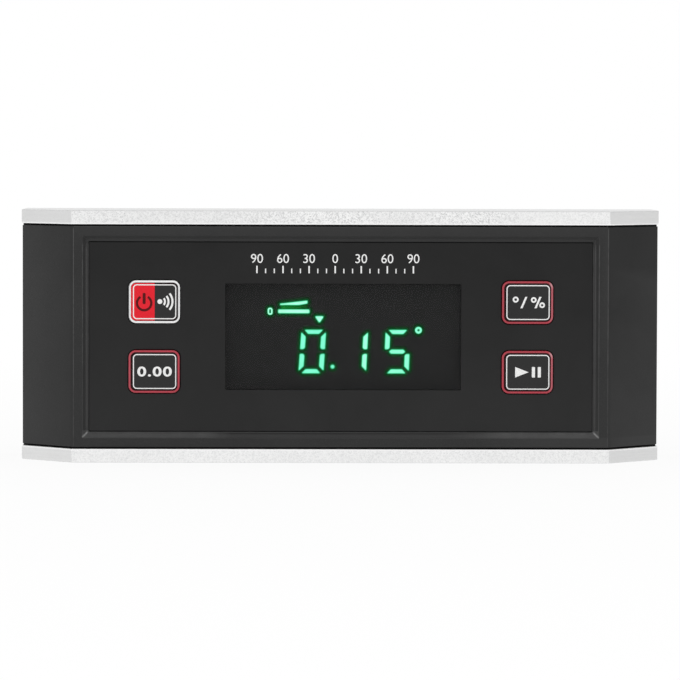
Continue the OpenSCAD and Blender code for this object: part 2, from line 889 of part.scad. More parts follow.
module link_contact() {
    color(NICKEL) block([-bay_l / 2, cell_y - contact_h / 2, mid_z - cell_dz - contact_w / 2],
        [-bay_l / 2 + contact_t, cell_y + contact_h / 2, mid_z + cell_dz + contact_w / 2]);
}

// End contact with a tab through the wall of the bay
module end_contact(z) {
    block([bay_l / 2 - contact_t, cell_y - contact_h / 2, z - contact_w / 2],
        [bay_l / 2, cell_y + contact_h / 2, z + contact_w / 2]);
    block([bay_l / 2 - contact_t / 2, cell_y - tab_w / 2, z - contact_t / 2],
        [lead_start_x, cell_y + tab_w / 2, z + contact_t / 2]);
}

module spring_contact() {
    color(NICKEL) end_contact(mid_z - cell_dz);
}

module button_contact() {
    color(NICKEL) end_contact(mid_z + cell_dz);
}

// Points of a conical coil along X, and a ring of wire round each
coil_steps = spring_turns * rings_per_turn;
coil_span = spring_l - wire_d - 2 * seat_gap;
function coil_radius(i) = spring_r0 + (spring_r1 - spring_r0) * i / coil_steps;
function coil_angle(i) = 360 * i / rings_per_turn;
function coil_point(i) = [
    wire_d / 2 + seat_gap + coil_span * i / coil_steps,
    coil_radius(i) * cos(coil_angle(i)),
    coil_radius(i) * sin(coil_angle(i)),
];
function coil_ring(i) =
    let(
        ahead = coil_point(i + 0.5) - coil_point(i - 0.5),
        t = ahead / norm(ahead),
        n = [0, cos(coil_angle(i)), sin(coil_angle(i))],
        b = cross(t, n)
    )
    [for (k = [0:ring_sides - 1])
        coil_point(i) + wire_d / 2 * (cos(360 * k / ring_sides) * n + sin(360 * k / ring_sides) * b)];

coil_gaps = [
    for (i = [0:coil_steps - rings_per_turn]) norm(coil_point(i + rings_per_turn) - coil_point(i)) - wire_d,
];
echo("least gap between the turns of a battery spring", min(coil_gaps));

module coil() {
    rings = [for (i = [0:coil_steps]) coil_ring(i)];
    points = [for (ring = rings, p = ring) p];
    last = coil_steps * ring_sides;
    faces = [
        for (i = [0:coil_steps - 1], k = [0:ring_sides - 1])
            let(
                a = i * ring_sides + k,
                b = i * ring_sides + (k + 1) % ring_sides
            )
            each [[a, a + ring_sides, b], [b, a + ring_sides, b + ring_sides]],
        for (k = [1:ring_sides - 2]) each [[0, k, k + 1], [last, last + k + 1, last + k]],
    ];
    polyhedron(points, faces);
}

module battery_springs() {
    color(NICKEL) {
        translate([-bay_l / 2 + contact_t, cell_y, mid_z + cell_dz]) coil();
        translate([bay_l / 2 - contact_t, cell_y, mid_z - cell_dz]) rotate([0, 0, 180]) coil();
    }
}

// Cell along X from its flat end, with its terminal at the far end
module cell() {
    rotate([0, 90, 0]) {
        cylinder(d = cell_d, h = cell_l - nub_l);
        cylinder(d = nub_d, h = cell_l);
    }
}

module battery_cells() {
    color(CELL_WRAP) {
        translate([-bay_l / 2 + contact_t + spring_l, cell_y, mid_z + cell_dz]) cell();
        translate([bay_l / 2 - contact_t - spring_l, cell_y, mid_z - cell_dz]) rotate([0, 0, 180]) cell();
    }
}

// Insulated lead: out along X from a contact's tab, round a bend, and in to the board
module lead(z) {
    bend_x = lead_x - lead_bend;
    translate([lead_start_x, cell_y, z]) rotate([0, 90, 0]) cylinder(d = lead_d, h = bend_x - lead_start_x);
    translate([bend_x, cell_y - lead_bend, z]) rotate_extrude(angle = 90)
        translate([lead_bend, 0]) circle(d = lead_d);
    rod_y([lead_x, z], lead_d, board_back_y, cell_y - lead_bend);
}

module red_lead() {
    color(WIRE_RED) lead(mid_z + cell_dz);
}

module black_lead() {
    color(WIRE_BLACK) lead(mid_z - cell_dz);
}

// Battery door: a flush plate with a round hinge edge, two pins, a snap bead and a foam pad

module battery_door() {
    color(BLACK_SHELL) union() {
        block([hinge_x, door_y, mid_z - door_half_z], [door_x1, rear_y, mid_z + door_half_z]);
        translate([hinge_x, hinge_y, mid_z - door_half_z]) cylinder(d = door_t, h = 2 * door_half_z);
        translate([hinge_x, hinge_y, mid_z - door_half_z - door_gap - hinge_pin_l + pin_fit])
            cylinder(d = hinge_pin_d, h = 2 * (door_half_z + door_gap + hinge_pin_l - pin_fit));
        translate([door_x1 - bead_r + bead_out, hinge_y, mid_z - bead_l / 2])
            cylinder(r = bead_r, h = bead_l);
    }
}

module door_pad() {
    color(FOAM) plate_y([0, mid_z], cell_l / 2, cell_gap + cell_d, door_y - pad_t, door_y);
}

frame();
magnets();
front_housing();
thread_inserts();
front_panel();
display_window();
window_foam();
display_body();
lit_segments();
display_pins();
key_cap(power_at);  // power_key_cap
key_rim(power_at, RIM_WHITE);  // power_key_rim
switch_plunger(power_at);  // power_switch_plunger
key_cap(zero_at);  // zero_key_cap
key_rim(zero_at, RIM_RED);  // zero_key_rim
switch_plunger(zero_at);  // zero_switch_plunger
key_cap(mode_at);  // mode_key_cap
key_rim(mode_at, RIM_RED);  // mode_key_rim
switch_plunger(mode_at);  // mode_switch_plunger
key_cap(hold_at);  // hold_key_cap
key_rim(hold_at, RIM_RED);  // hold_key_rim
switch_plunger(hold_at);  // hold_switch_plunger
main_board();
switch_bases();
controller_chip();
crystal();
capacitors();
buzzer();
board_screws();
sensor_board();
tilt_sensor();
sensor_header();
sensor_screws();
rear_cover();
cover_screws();
link_contact();
spring_contact();
button_contact();
battery_springs();
battery_cells();
red_lead();
black_lead();
battery_door();
door_pad();
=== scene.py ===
# Digital inclinometer: finishes, printed marks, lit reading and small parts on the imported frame.
# X runs along the length, -Y is the front, +Z is up. Sizes with a name are in millimetres, others in metres.
import math
from types import SimpleNamespace

import bmesh
import bpy
from mathutils import Matrix, Vector


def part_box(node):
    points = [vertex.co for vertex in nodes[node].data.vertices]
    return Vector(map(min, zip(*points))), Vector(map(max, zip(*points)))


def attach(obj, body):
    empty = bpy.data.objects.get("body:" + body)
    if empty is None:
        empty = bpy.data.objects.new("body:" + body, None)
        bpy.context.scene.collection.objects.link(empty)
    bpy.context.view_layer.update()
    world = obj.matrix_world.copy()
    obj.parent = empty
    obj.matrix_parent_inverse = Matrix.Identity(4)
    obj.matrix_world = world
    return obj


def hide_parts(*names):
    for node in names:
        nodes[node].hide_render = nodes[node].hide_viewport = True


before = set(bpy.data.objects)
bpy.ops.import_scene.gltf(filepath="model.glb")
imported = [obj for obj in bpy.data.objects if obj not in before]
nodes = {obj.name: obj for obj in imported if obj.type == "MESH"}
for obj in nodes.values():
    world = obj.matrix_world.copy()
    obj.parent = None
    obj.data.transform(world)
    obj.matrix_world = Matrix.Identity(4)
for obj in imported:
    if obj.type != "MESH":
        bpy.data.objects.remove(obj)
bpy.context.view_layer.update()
scene = bpy.context.scene
scene.view_settings.view_transform = "Standard"

MM = 0.001
KEYS = ("power", "zero", "mode", "hold")
KEY_PLACE = (44.4, 30.0, 8.3)
KEY_SIDES = (12.3, 10.3)
KEY_CORNER = 1.8
RIM_WIDTH = 0.66
RAIL_EDGES = (3.3, 56.7)


# Node trees

class Bench:
    """Holds the node tree that is being filled."""
    tree = None


def empty_tree(owner):
    """Clears the owner's node tree and puts it on the bench."""
    owner.use_nodes = True
    Bench.tree = owner.node_tree
    Bench.tree.nodes.clear()


def add(kind, sockets=None, **settings):
    """The outputs of a new node, each of its sockets given a value or the output that feeds it."""
    made = Bench.tree.nodes.new(f"ShaderNode{kind}")
    for name, value in settings.items():
        setattr(made, name, value)
    for key, value in (sockets or {}).items():
        if isinstance(value, bpy.types.NodeSocket):
            Bench.tree.links.new(value, made.inputs[key])
        else:
            made.inputs[key].default_value = value
    return made.outputs


def link(sockets, sources):
    """Links each source to the socket of its name."""
    for label, source in sources.items():
        Bench.tree.links.new(source, sockets[label.replace("_", " ")])


def maths(operation, first, *others, clamp=False):
    """The values joined by an operation, from left to right."""
    for other in others or (0.0,):
        first = add("Math", {0: first, 1: other}, operation=operation, use_clamp=clamp)[0]
    return first


def times(*masks):
    return maths("MULTIPLY", *masks)


def most(*masks):
    return maths("MAXIMUM", *masks)


def less(first, second):
    return maths("SUBTRACT", first, second)


def apart(first, second):
    return maths("ABSOLUTE", less(first, second))


def length(vector):
    return add("VectorMath", {0: vector}, operation="LENGTH")["Value"]


def span(mask, low, high, start=0.0, end=1.0):
    """The mask carried from start..end to low..high."""
    sockets = {"Value": mask, "From Min": start, "From Max": end, "To Min": low, "To Max": high}
    return add("MapRange", sockets)[0]


def grey(level):
    return (level, level, level)


def opaque(colour):
    return colour if isinstance(colour, bpy.types.NodeSocket) else (*colour, 1.0)


def tint(mask, dark, light):
    """Colour from dark to light along the mask; either end may be a colour socket."""
    return add("Mix", {0: mask, 6: opaque(dark), 7: opaque(light)}, data_type="RGBA")[2]


def tint_value(share, first, second):
    """The two values mixed, by the share of the second."""
    return add("Mix", {0: share, 2: first, 3: second})[0]


def layered(colour, *layers):
    """The colour with others laid over it, each by its mask."""
    for mask, over in layers:
        colour = tint(mask, colour, over)
    return colour


def on_object():
    return add("TexCoord")["Object"]


def stretched(scale, turned=(0.0, 0.0, 0.0)):
    return add("Mapping", {"Vector": on_object(), "Rotation": turned, "Scale": scale})[0]


def parted(vector):
    return add("SeparateXYZ", {0: vector})


def noise(scale, detail=2.0, rough=0.5, distortion=0.0, at=None):
    sockets = {"Vector": at or on_object(), "Scale": scale, "Detail": detail, "Roughness": rough}
    return add("TexNoise", {**sockets, "Distortion": distortion})[0]


def cells(scale, scatter=1.0, **settings):
    return add("TexVoronoi", {"Vector": on_object(), "Scale": scale, "Randomness": scatter}, **settings)


def bump(height, depth, strength=1.0):
    return add("Bump", {"Height": height, "Distance": depth, "Strength": strength})[0]


# Effects that several finishes share

def effect(name, inputs, outputs):
    """The sockets that a new node group's own nodes read, and a call that feeds its outputs."""
    group = bpy.data.node_groups.new(name, "ShaderNodeTree")
    for label, value in inputs.items():
        made = group.interface.new_socket(label, in_out="INPUT", socket_type="NodeSocketFloat")
        made.default_value = value
    for label in outputs:
        group.interface.new_socket(label, in_out="OUTPUT", socket_type="NodeSocketFloat")
    Bench.tree = group
    into = group.nodes.new("NodeGroupInput").outputs
    ends = group.nodes.new("NodeGroupOutput").inputs

    def feed(**sources):
        link(ends, sources)
        return group
    return into, feed


def moulded_grain():
    """Spark-eroded mould texture: Height for the bump, and Cloud for slow changes of tone."""
    into, feed = effect("moulded_grain", {"Scale": 5000.0}, ("Height", "Cloud"))
    fine = noise(into["Scale"], 3.0, 0.6)
    pits = times(cells(into["Scale"])["Distance"], 0.5)
    cloud = span(noise(55.0, 5.0, 0.6), 0.0, 1.0, 0.3, 0.7)
    return feed(Height=maths("ADD", fine, pits), Cloud=cloud)


def blasted_speckle():
    """Bead-blasted metal: Speckle for the tone of each dent, and Height for the bump."""
    into, feed = effect("blasted_speckle", {"Scale": 3000.0}, ("Speckle", "Height"))
    dents = cells(into["Scale"])
    shade = add("SeparateColor", {"Color": dents["Color"]})[0]
    fine = noise(times(into["Scale"], 1.4), 3.0, 0.65)
    fine = span(fine, 0.0, 1.0, 0.3, 0.7)
    hollow = times(dents["Distance"], 0.7)
    return feed(Speckle=tint_value(0.45, fine, shade), Height=maths("ADD", hollow, fine))


def edge_wear():
    """Masks of arrises, both broken up: the first is 1 along sharp edges, for edge wear and painted
    highlights; the second is 1 where a rounded edge stands proud, for painted highlights.
    """
    into, feed = effect("edge_wear", {"Radius": 0.0004, "Gain": 6.0}, ("Wear", "Rub"))
    rounded = add("Bevel", {"Radius": into["Radius"]}, samples=6)[0]
    flat = add("NewGeometry")["True Normal"]
    facing = add("VectorMath", {0: rounded, 1: flat}, operation="DOT_PRODUCT")
    turned = less(1.0, facing["Value"])
    edge = maths("MULTIPLY", turned, into["Gain"], clamp=True)
    broken = span(noise(480.0, 5.0, 0.7), 0.1, 1.0, 0.38, 0.62)
    near = {"Distance": 0.0006}
    open_air = add("AmbientOcclusion", near, samples=8, only_local=True)["AO"]
    proud = span(open_air, 0.0, 1.0, 0.9, 0.97)
    rubbed = span(noise(300.0, 5.0, 0.68), 0.3, 1.05, 0.36, 0.62)
    return feed(Wear=times(edge, broken), Rub=times(proud, rubbed))


def handling_marks():
    """Use: Smudge for finger grease and dull patches, and Scratch for fine hairlines."""
    into, feed = effect("handling_marks", {"Scale": 60.0}, ("Smudge", "Scratch"))
    smear = noise(into["Scale"], 6.0, 0.62, 0.6)
    lines = noise(6.0, at=stretched((40.0, 1.0, 900.0), (0.4, 0.3, 0.5)))
    scratch = span(lines, 0.0, 1.0, 0.66, 0.72)
    return feed(Smudge=span(smear, 0.0, 1.0, 0.38, 0.66), Scratch=scratch)


GRAIN = moulded_grain()
SPECKLE = blasted_speckle()
WEAR_AND_HIGHLIGHT = edge_wear()
MARKS = handling_marks()


def use(group, **values):
    return add("Group", values, node_tree=group)


# Finishes of metal

def new_finish(name, specular=0.5, **constants):
    """A call that feeds a new material's shader, with a relief where there is one.

    Constants go straight on the shader's sockets.
    """
    finish = bpy.data.materials.new(name)
    empty_tree(finish)
    sockets = {label.replace("_", " "): value for label, value in constants.items()}
    shader = add("BsdfPrincipled", {"Specular IOR Level": specular, **sockets})[0]
    add("OutputMaterial", {"Surface": shader})

    def feed(colour, rough, height=None, depth=0.0, strength=1.0, **others):
        if height is not None:
            others["Normal"] = bump(height, depth, strength)
        link(shader.node.inputs, {"Base_Color": colour, "Roughness": rough, **others})
        return finish
    return feed


def blasted_aluminium():
    """Rails: bead-blasted faces, smoother cut corners and ends with faint saw lines, bright painted
    highlights along the faces next to the shells, and painted shade that greys the cut faces and darkens the
    upward faces.
    """
    feed = new_finish("blasted_aluminium", Metallic=1.0)
    speckle = use(SPECKLE, Scale=3200.0)
    smudge = use(MARKS, Scale=45.0)["Smudge"]
    edge_mask = use(WEAR_AND_HIGHLIGHT, Radius=0.0005, Gain=2.0)["Wear"]
    facing = parted(add("NewGeometry")["True Normal"])
    along, _, up = parted(on_object())
    on_top = span(up, 0.0, 1.0, 0.045, 0.05)
    cut_face = span(maths("ABSOLUTE", facing[0]), 0.0, 1.0, 0.4, 0.6)
    smooth_end = times(on_top, span(along, 0.0, 0.62, 0.034, 0.043))
    left_end = times(on_top, span(along, 0.4, 0.0, -0.055, -0.045))
    patches = span(noise(45.0), 0.05, 0.5, 0.38, 0.62)
    bottom = span(on_top, 0.55, 0.0)
    worked = most(patches, bottom, smooth_end, left_end, times(cut_face, 0.88))
    dents = span(speckle["Speckle"], 0.0, 1.0, 0.08, 0.64)
    calm = tint_value(worked, dents, span(smooth_end, 0.7, 0.88))
    saw = noise(1.0, 3.0, 0.6, at=stretched((60.0, 60.0, 2600.0)))
    saw = times(cut_face, span(saw, 0.0, 0.5, 0.35, 0.7))
    pitted = tint(on_top, (0.6, 0.605, 0.61), (0.5, 0.505, 0.51))
    # Bright lines on the faces along the edges next to the shells: painted highlights.
    edges = [span(apart(up, z * MM), 0.85, 0.0, 0.0002, 0.00045) for z in RAIL_EDGES]
    # Cut faces are greyed and upward faces darkened, as painted shade; saw lines and smudges are the metal's
    # own.
    colour = layered(
        tint(calm, pitted, (0.99, 0.99, 0.985)), (times(cut_face, 0.2), grey(0.5)),
        (saw, grey(0.74)), (times(smudge, 0.1), grey(0.62)), (times(edge_mask, 0.5), (0.92, 0.92, 0.915)),
        *((edge, grey(1.0)) for edge in edges), (span(facing[2], 0.0, 0.8, 0.9, 1.0), grey(0.84))
    )
    rough = tint_value(times(edge_mask, 0.4), span(calm, 0.52, 0.38), 0.26)
    return feed(colour, rough, speckle["Height"], 0.00003, 0.5)


def bare_arris():
    """Rounded edges of the rails: as the faces, with a painted highlight, bright and less metallic, along
    the edges next to the shells.
    """
    feed = new_finish("bare_arris")
    speckle = use(SPECKLE, Scale=3000.0)
    up = parted(on_object())[2]
    edges = [span(apart(up, z * MM), 1.0, 0.0, 0.0003, 0.0005) for z in RAIL_EDGES]
    highlit_edge = maths("ADD", *edges)
    plain = tint(speckle["Speckle"], (0.66, 0.665, 0.67), (0.88, 0.88, 0.875))
    bright = tint(speckle["Speckle"], grey(0.95), (1.0, 1.0, 0.995))
    colour = tint(highlit_edge, plain, bright)
    rough = span(speckle["Speckle"], 0.42, 0.3)
    return feed(colour, rough, speckle["Height"], 0.00001, 0.4, Metallic=span(highlit_edge, 1.0, 0.45))


def plated_metal(name, dark, light, low, high):
    """Plated or turned metal with fine scratches and tarnish, and its lowest and highest roughness."""
    feed = new_finish(name, Metallic=1.0)
    speckle = use(SPECKLE, Scale=1800.0)
    marks = use(MARKS, Scale=160.0)
    edge_mask = use(WEAR_AND_HIGHLIGHT, Radius=0.0003, Gain=4.0)["Wear"]
    colour = layered(
        tint(marks["Smudge"], light, dark), (times(speckle["Speckle"], 0.25), dark),
        (edge_mask, tuple(min(0.97, 1.15 * c) for c in light))
    )
    dull = span(marks["Smudge"], low, high)
    dull = tint_value(times(marks["Scratch"], 0.6), dull, high + 0.12)
    return feed(colour, dull, speckle["Height"], 0.000008, 0.35)


# Finishes of black plastic

# Greys over black plastic: EDGE_GREY lightens edges, as wear and, on the shells, also as painted highlight;
# the next two are painted light and a painted highlight on the shells, and GLINT_GREY is painted glints.
EDGE_GREY = grey(0.058)
PAINTED_LIGHT_GREY = grey(0.033)
FOOT_HIGHLIGHT_GREY = grey(0.064)
GLINT_GREY = grey(0.22)
SHELL_TONES = (grey(0.0107), grey(0.0136))


def black_plastic(name, scale, dark, light, rough, depth, specular, layers, lower=None):
    """Black moulded plastic: fine mould grain, slow tone, flecks and smudges.

    layers gives the colours laid over them from the arris masks, and lower is the tone at its foot.
    """
    feed = new_finish(name, specular)
    grain = use(GRAIN, Scale=scale)
    smudge = use(MARKS, Scale=38.0)["Smudge"]
    arris_masks = use(WEAR_AND_HIGHLIGHT, Radius=0.0003, Gain=4.0)
    colour = tint(grain["Cloud"], dark, light)
    if lower:
        colour = tint(span(parted(on_object())[2], 1.0, 0.0, 0.008, 0.05), colour, lower)
    flecks = span(grain["Height"], 0.0, 0.35, 0.72, 0.95)
    colour = layered(colour, (flecks, tuple(2.2 * c for c in light)), *layers(arris_masks))
    low, high = rough
    dull = tint_value(times(arris_masks["Wear"], 0.5), span(smudge, high, low), low - 0.08)
    return feed(colour, dull, grain["Height"], depth, 0.6)


def greyed_edges(share):
    return lambda arris_masks: [(times(arris_masks["Wear"], share), EDGE_GREY)]


# Places on the shells, used mostly to lay painted light, shade and highlights.
# Ramps over the shells: an axis, the mask's two values, and where on the axis it goes from one to the other
SHELL_RAMPS = {
    "forward": ("back", 1.0, 0.0, -4.0, -1.0),
    "right_half": ("along", 0.0, 1.0, -1.0, 1.0),
    "left_end": ("along", 0.0, 0.26, -70.0, -76.5),
    "right_end": ("along", 0.0, 0.06, 73.0, 76.5),
    "over_recess": ("up", 0.0, 1.0, 51.8, 52.2),
    "between_folds": ("outward", 1.0, 0.0, 63.2, 63.6),
    "top_edge": ("up", 0.08, 0.26, 53.5, 56.2),
    "beside_fold": ("along", 0.0, 0.3, 61.7, 63.4),
    "up_the_fold": ("up", 0.2, 1.0, 20.0, 50.0),
    "within_bezel": ("outward", 1.0, 0.0, 61.2, 61.6),
    "to_the_right": ("along", 0.0, 0.45, 30.0, 50.0),
    "under_recess": ("up", 1.0, 0.0, 5.8, 6.4),
    "walls": ("outward", 0.0, 1.0, 63.4, 63.8),
    "wall_middle": ("outward", 0.5, 0.0, 63.6, 73.0),
    "wall_at_fold": ("outward", 0.9, 0.0, 63.6, 65.6),
    "right_wall": ("along", 0.95, 0.4, 63.6, 73.5),
    "up_right_wall": ("up", 0.35, 1.0, 14.0, 34.0),
    "right_wall_top": ("up", 0.0, 0.95, 41.0, 46.5),
    "foot_left": ("along", 0.7, 0.0, -32.0, -26.0),
    "foot_right": ("along", 0.0, 1.0, 25.0, 40.0),
    "foot_slope": ("up", 1.0, 0.8, 6.7, 7.0),
    "recess_top": ("outward", 0.95, 0.0, 61.4, 61.8),
    "below_top": ("up", 1.0, 0.0, 55.6, 56.0),
    "gripped": ("outward", 0.3, 1.0, 58.5, 59.5),
    "folds": ("outward", 0.85, 1.2, 62.0, 63.2),
    "up_the_grip": ("up", 0.65, 1.7, 12.0, 44.0),
    "under_top": ("up", 1.0, 0.1, 55.5, 56.0),
    "top_line": ("up", 0.0, 2.2, 55.6, 56.2),
    "mitre": ("across", 1.0, 0.0, 0.08, 0.42),
}
# Bands over the shells: an axis, and where on it the mask rises, is full, falls and is gone
SHELL_BANDS = {
    "slope": ("up", 5.8, 6.2, 6.6, 6.9),
    "foot": ("up", 5.8, 6.2, 7.6, 7.8),
    "sill": ("up", 6.6, 6.9, 7.3, 7.4),
    "lip_line": ("up", 7.1, 7.3, 7.6, 7.8),
    "side_lips": ("outward", 60.1, 60.3, 60.6, 60.9),
    "up_the_lips": ("up", 7.5, 9.0, 50.0, 52.0),
    "mitre_length": ("down", 52.6, 53.4, 54.8, 55.6),
}
MITRE_SUM = 67.51


def shell_masks():
    """Masks of the places on the shells; across and down are square to the lower mitres and along them."""
    along, back, up = parted(on_object())
    outward = maths("ABSOLUTE", along)
    across = apart(maths("ADD", outward, up), MITRE_SUM * MM)
    place = {"along": along, "back": back, "up": up, "outward": outward, "across": across}
    place["down"] = less(outward, up)
    on = {}
    for name, (axis, low, high, start, end) in SHELL_RAMPS.items():
        on[name] = span(place[axis], low, high, start * MM, end * MM)
    for name, (axis, *stops) in SHELL_BANDS.items():
        rise, full, fall, gone = (stop * MM for stop in stops)
        rising = span(place[axis], 0.0, 1.0, rise, full)
        on[name] = times(rising, span(place[axis], 1.0, 0.0, fall, gone))
    return SimpleNamespace(**on)


def shell_layers(arris_masks, edge):
    """Colours over the shell plastic, most of them painted light and shade.

    The ends, the top edge, beside the folds, the recess's lower slope and side lips, and the bezel under the
    recess towards the right are painted lighter, as painted light. The corner walls beside the fold and on
    the right, and the recess's sill, are darkened as painted shade. The recess's foot, mottled towards its
    ends, and its lower lip line carry a painted highlight. Edges are lighter grey, partly wear and partly
    painted highlight, except the recess's upper edges. The recess's lower mitres carry painted glints. edge
    is the share of grey, as painted highlight, on rounded edges that stand proud.
    """
    on = shell_masks()
    forward = on.forward
    over = times(on.over_recess, forward)
    front = times(on.between_folds, over)
    inside = times(on.within_bezel, forward)
    # Painted light: lighter at the ends, the top edge, beside the folds, on the recess's lower slope and
    # side lips, and under the recess towards the right.
    painted_light = most(
        on.left_end, on.right_end, times(front, on.top_edge),
        times(on.beside_fold, on.up_the_fold, forward), times(on.slope, inside, 0.85),
        times(on.side_lips, on.up_the_lips, forward, 0.65),
        times(on.to_the_right, on.under_recess, forward)
    )
    # Painted shade: the corner walls are darkened beside the fold and on the right, and the recess's sill is
    # darkened.
    right_wall = most(times(on.right_wall, on.up_right_wall), on.right_wall_top)
    wall = most(on.wall_middle, on.wall_at_fold, times(right_wall, on.right_half))
    painted_shade = most(times(wall, on.walls), times(on.sill, inside, 0.6))
    # Painted highlight: mottled on the recess's lower slope towards its ends, and along its lower lip line.
    mottled = span(noise(420.0, 3.0, 0.6), 0.8, 1.15, 0.35, 0.65)
    foot_ends = times(most(on.foot_left, on.foot_right), mottled)
    foot = times(on.foot, foot_ends, on.foot_slope)
    foot = times(most(foot, times(on.lip_line, 0.6)), inside)
    # Edges are lightened, partly wear and partly painted highlight, except the recess's upper edges. Rounded
    # edges outside the panel, up the folds and along the top take more, as painted highlight.
    reach = less(1.0, times(over, on.recess_top, on.below_top))
    edge_mask = times(arris_masks["Wear"], 0.4, reach)
    if edge:
        edge_highlight = times(on.gripped, on.folds, on.up_the_grip, on.under_top, reach)
        edge_highlight = most(edge_highlight, times(on.top_line, front))
        edge_mask = most(edge_mask, times(arris_masks["Rub"], edge_highlight, edge))
    # The last mask lays painted glints along the recess's lower mitres.
    masks = (painted_light, times(painted_shade, forward), foot, edge_mask, times(on.mitre, on.mitre_length, forward))
    return zip(masks, (PAINTED_LIGHT_GREY, grey(0.0), FOOT_HIGHLIGHT_GREY, EDGE_GREY, GLINT_GREY))


def textured_shell(name, specular, edge):
    return black_plastic(
        name, 4200.0, *SHELL_TONES, (0.42, 0.54), 0.00003, specular, lambda arris_masks: shell_layers(arris_masks, edge)
    )


# Finishes of the display and the keys

FILM_TONE = grey(0.057)
GLOW_STRENGTH = 2.7


def smoked_lens():
    """See-through smoked acrylic with faint wiping marks."""
    feed = new_finish("smoked_lens", 0.2, Alpha=0.3, IOR=1.49)
    marks = use(MARKS, Scale=30.0)
    colour = tint(marks["Smudge"], (0.003, 0.0033, 0.0033), (0.0045, 0.0048, 0.0048))
    colour = tint(times(marks["Scratch"], 0.06), colour, grey(0.05))
    return feed(colour, span(marks["Smudge"], 0.16, 0.26))


def display_film():
    """Matte film on the face of the display module: a slow change of tone and of gloss."""
    feed = new_finish("display_film", 0.15)
    cloud = use(GRAIN, Scale=9000.0)["Cloud"]
    colour = tint(cloud, FILM_TONE, tuple(1.12 * c for c in FILM_TONE))
    return feed(colour, span(cloud, 0.7, 0.8), cloud, 0.00002, 0.2)


def lit_glow(name):
    """Light of a stroke: its colour runs from the edge to the core, with the diode's slight unevenness.

    The face is black at the stroke and takes the film's tone where the mark's alpha falls to zero.
    """
    feed = new_finish(name, 0.1, Emission_Strength=GLOW_STRENGTH)
    mark = add("Attribute", attribute_name="glow")
    cloud = use(GRAIN, Scale=5000.0)["Cloud"]
    uneven = span(noise(420.0, 3.0), 0.0, 0.16, 0.35, 0.75)
    face = tint(mark["Alpha"], FILM_TONE, grey(0.001))
    light = tint(uneven, mark["Color"], grey(0.0))
    return feed(face, span(cloud, 0.6, 0.75), Emission_Color=light)


def rim_places(shift):
    """Distance of a rim's point in from its outer edge, and masks of its right side and upper right corner,
    where painted highlights go.

    shift moves the edge that the distance starts from, towards the middle of the panel.
    """
    x, _, z = parted(on_object())
    high = less(z, KEY_PLACE[1] * MM)
    high = less(high, times(maths("SIGN", high), KEY_PLACE[2] * MM))
    wide = less(maths("ABSOLUTE", x), KEY_PLACE[0] * MM)
    past = {}
    for index, place in enumerate((maths("ADD", wide, shift), high)):
        straight = (KEY_SIDES[index] / 2 - KEY_CORNER) * MM
        past[index] = most(less(maths("ABSOLUTE", place), straight), 0.0)
    depth = less(KEY_CORNER * MM, length(add("CombineXYZ", past)[0]))
    on_right_keys = (-0.001, 0.001)
    right = times(span(wide, 0.0, 1.0, 0.005, 0.0057), span(x, 0.35, 1.0, *on_right_keys))
    corner = times(span(high, 0.0, 1.0, 0.0032, 0.0043), span(x, 0.0, 1.0, *on_right_keys))
    return depth, right, times(right, corner)


def glossy_rim(name, deep, bright, shade, outer, inner, shift=0.0, rubbed=()):
    """Clear-coated key rim: a little deeper in patches, with slight flow marks.

    shade is the colour that its edges fall off to, at the depths outer and inner: painted shade of the red
    rim's rounded section, and the edges of a narrower white band on the white rim. The paler colours given
    last are painted highlights on its side and its corner.
    """
    feed = new_finish(name, Coat_Weight=0.25, Coat_Roughness=0.08)
    grain = use(GRAIN, Scale=2600.0)
    edge_mask = use(WEAR_AND_HIGHLIGHT, Radius=0.0002, Gain=3.0)["Wear"]
    lighter = tuple(min(0.97, 1.25 * c + 0.01) for c in bright)
    depth, right, corner = rim_places(shift)
    # Paler colours on the rim's side and upper right corner: painted highlights.
    painted_highlights = (times(right, 0.22), times(corner, 0.6))
    colour = layered(
        tint(grain["Cloud"], deep, bright), (times(edge_mask, 0.3), lighter), *zip(painted_highlights, rubbed),
        (span(depth, 0.85, 0.0, *outer), shade), (span(depth, 0.0, 0.95, *inner), shade)
    )
    return feed(colour, span(grain["Cloud"], 0.24, 0.34), grain["Height"], 0.000006, 0.3)


def screen_ink(name, thin, full, rough=0.5):
    """Screen-printed ink: tiny pinholes and a slightly uneven coat."""
    feed = new_finish(name, 0.2)
    grain = use(GRAIN, Scale=7000.0)
    coat = span(grain["Height"], 1.0, 0.35, 0.75, 1.05)
    colour = tint(times(grain["Cloud"], 0.3), tint(coat, thin, full), thin)
    return feed(colour, span(coat, rough + 0.12, rough), grain["Height"], 0.000006, 0.4)


# Finishes of the small parts inside

def solder_mask_board():
    """Circuit board: solder mask with raised tracks under it and tinned round pads."""
    feed = new_finish("solder_mask_board")
    net = cells(330.0, 0.85, feature="DISTANCE_TO_EDGE")["Distance"]
    track = span(net, 1.0, 0.0, 0.05, 0.09)
    pad = span(cells(210.0, 0.9)["Distance"], 1.0, 0.0, 0.11, 0.13)
    cloud = use(GRAIN, Scale=2500.0)["Cloud"]
    mask = tint(cloud, (0.006, 0.055, 0.022), (0.01, 0.085, 0.034))
    colour = layered(mask, (track, (0.02, 0.17, 0.06)), (pad, (0.62, 0.61, 0.58)))
    raised = maths("ADD", track, pad)
    return feed(colour, span(cloud, 0.26, 0.4), raised, 0.00004, 0.7, Metallic=pad)


def fired_ceramic():
    feed = new_finish("fired_ceramic")
    grain = use(GRAIN, Scale=3800.0)
    colour = tint(grain["Cloud"], (0.2, 0.11, 0.05), (0.33, 0.2, 0.1))
    colour = tint(span(grain["Height"], 0.0, 0.4, 0.6, 1.0), colour, (0.45, 0.31, 0.18))
    return feed(colour, span(grain["Cloud"], 0.3, 0.45), grain["Height"], 0.00001, 0.5)


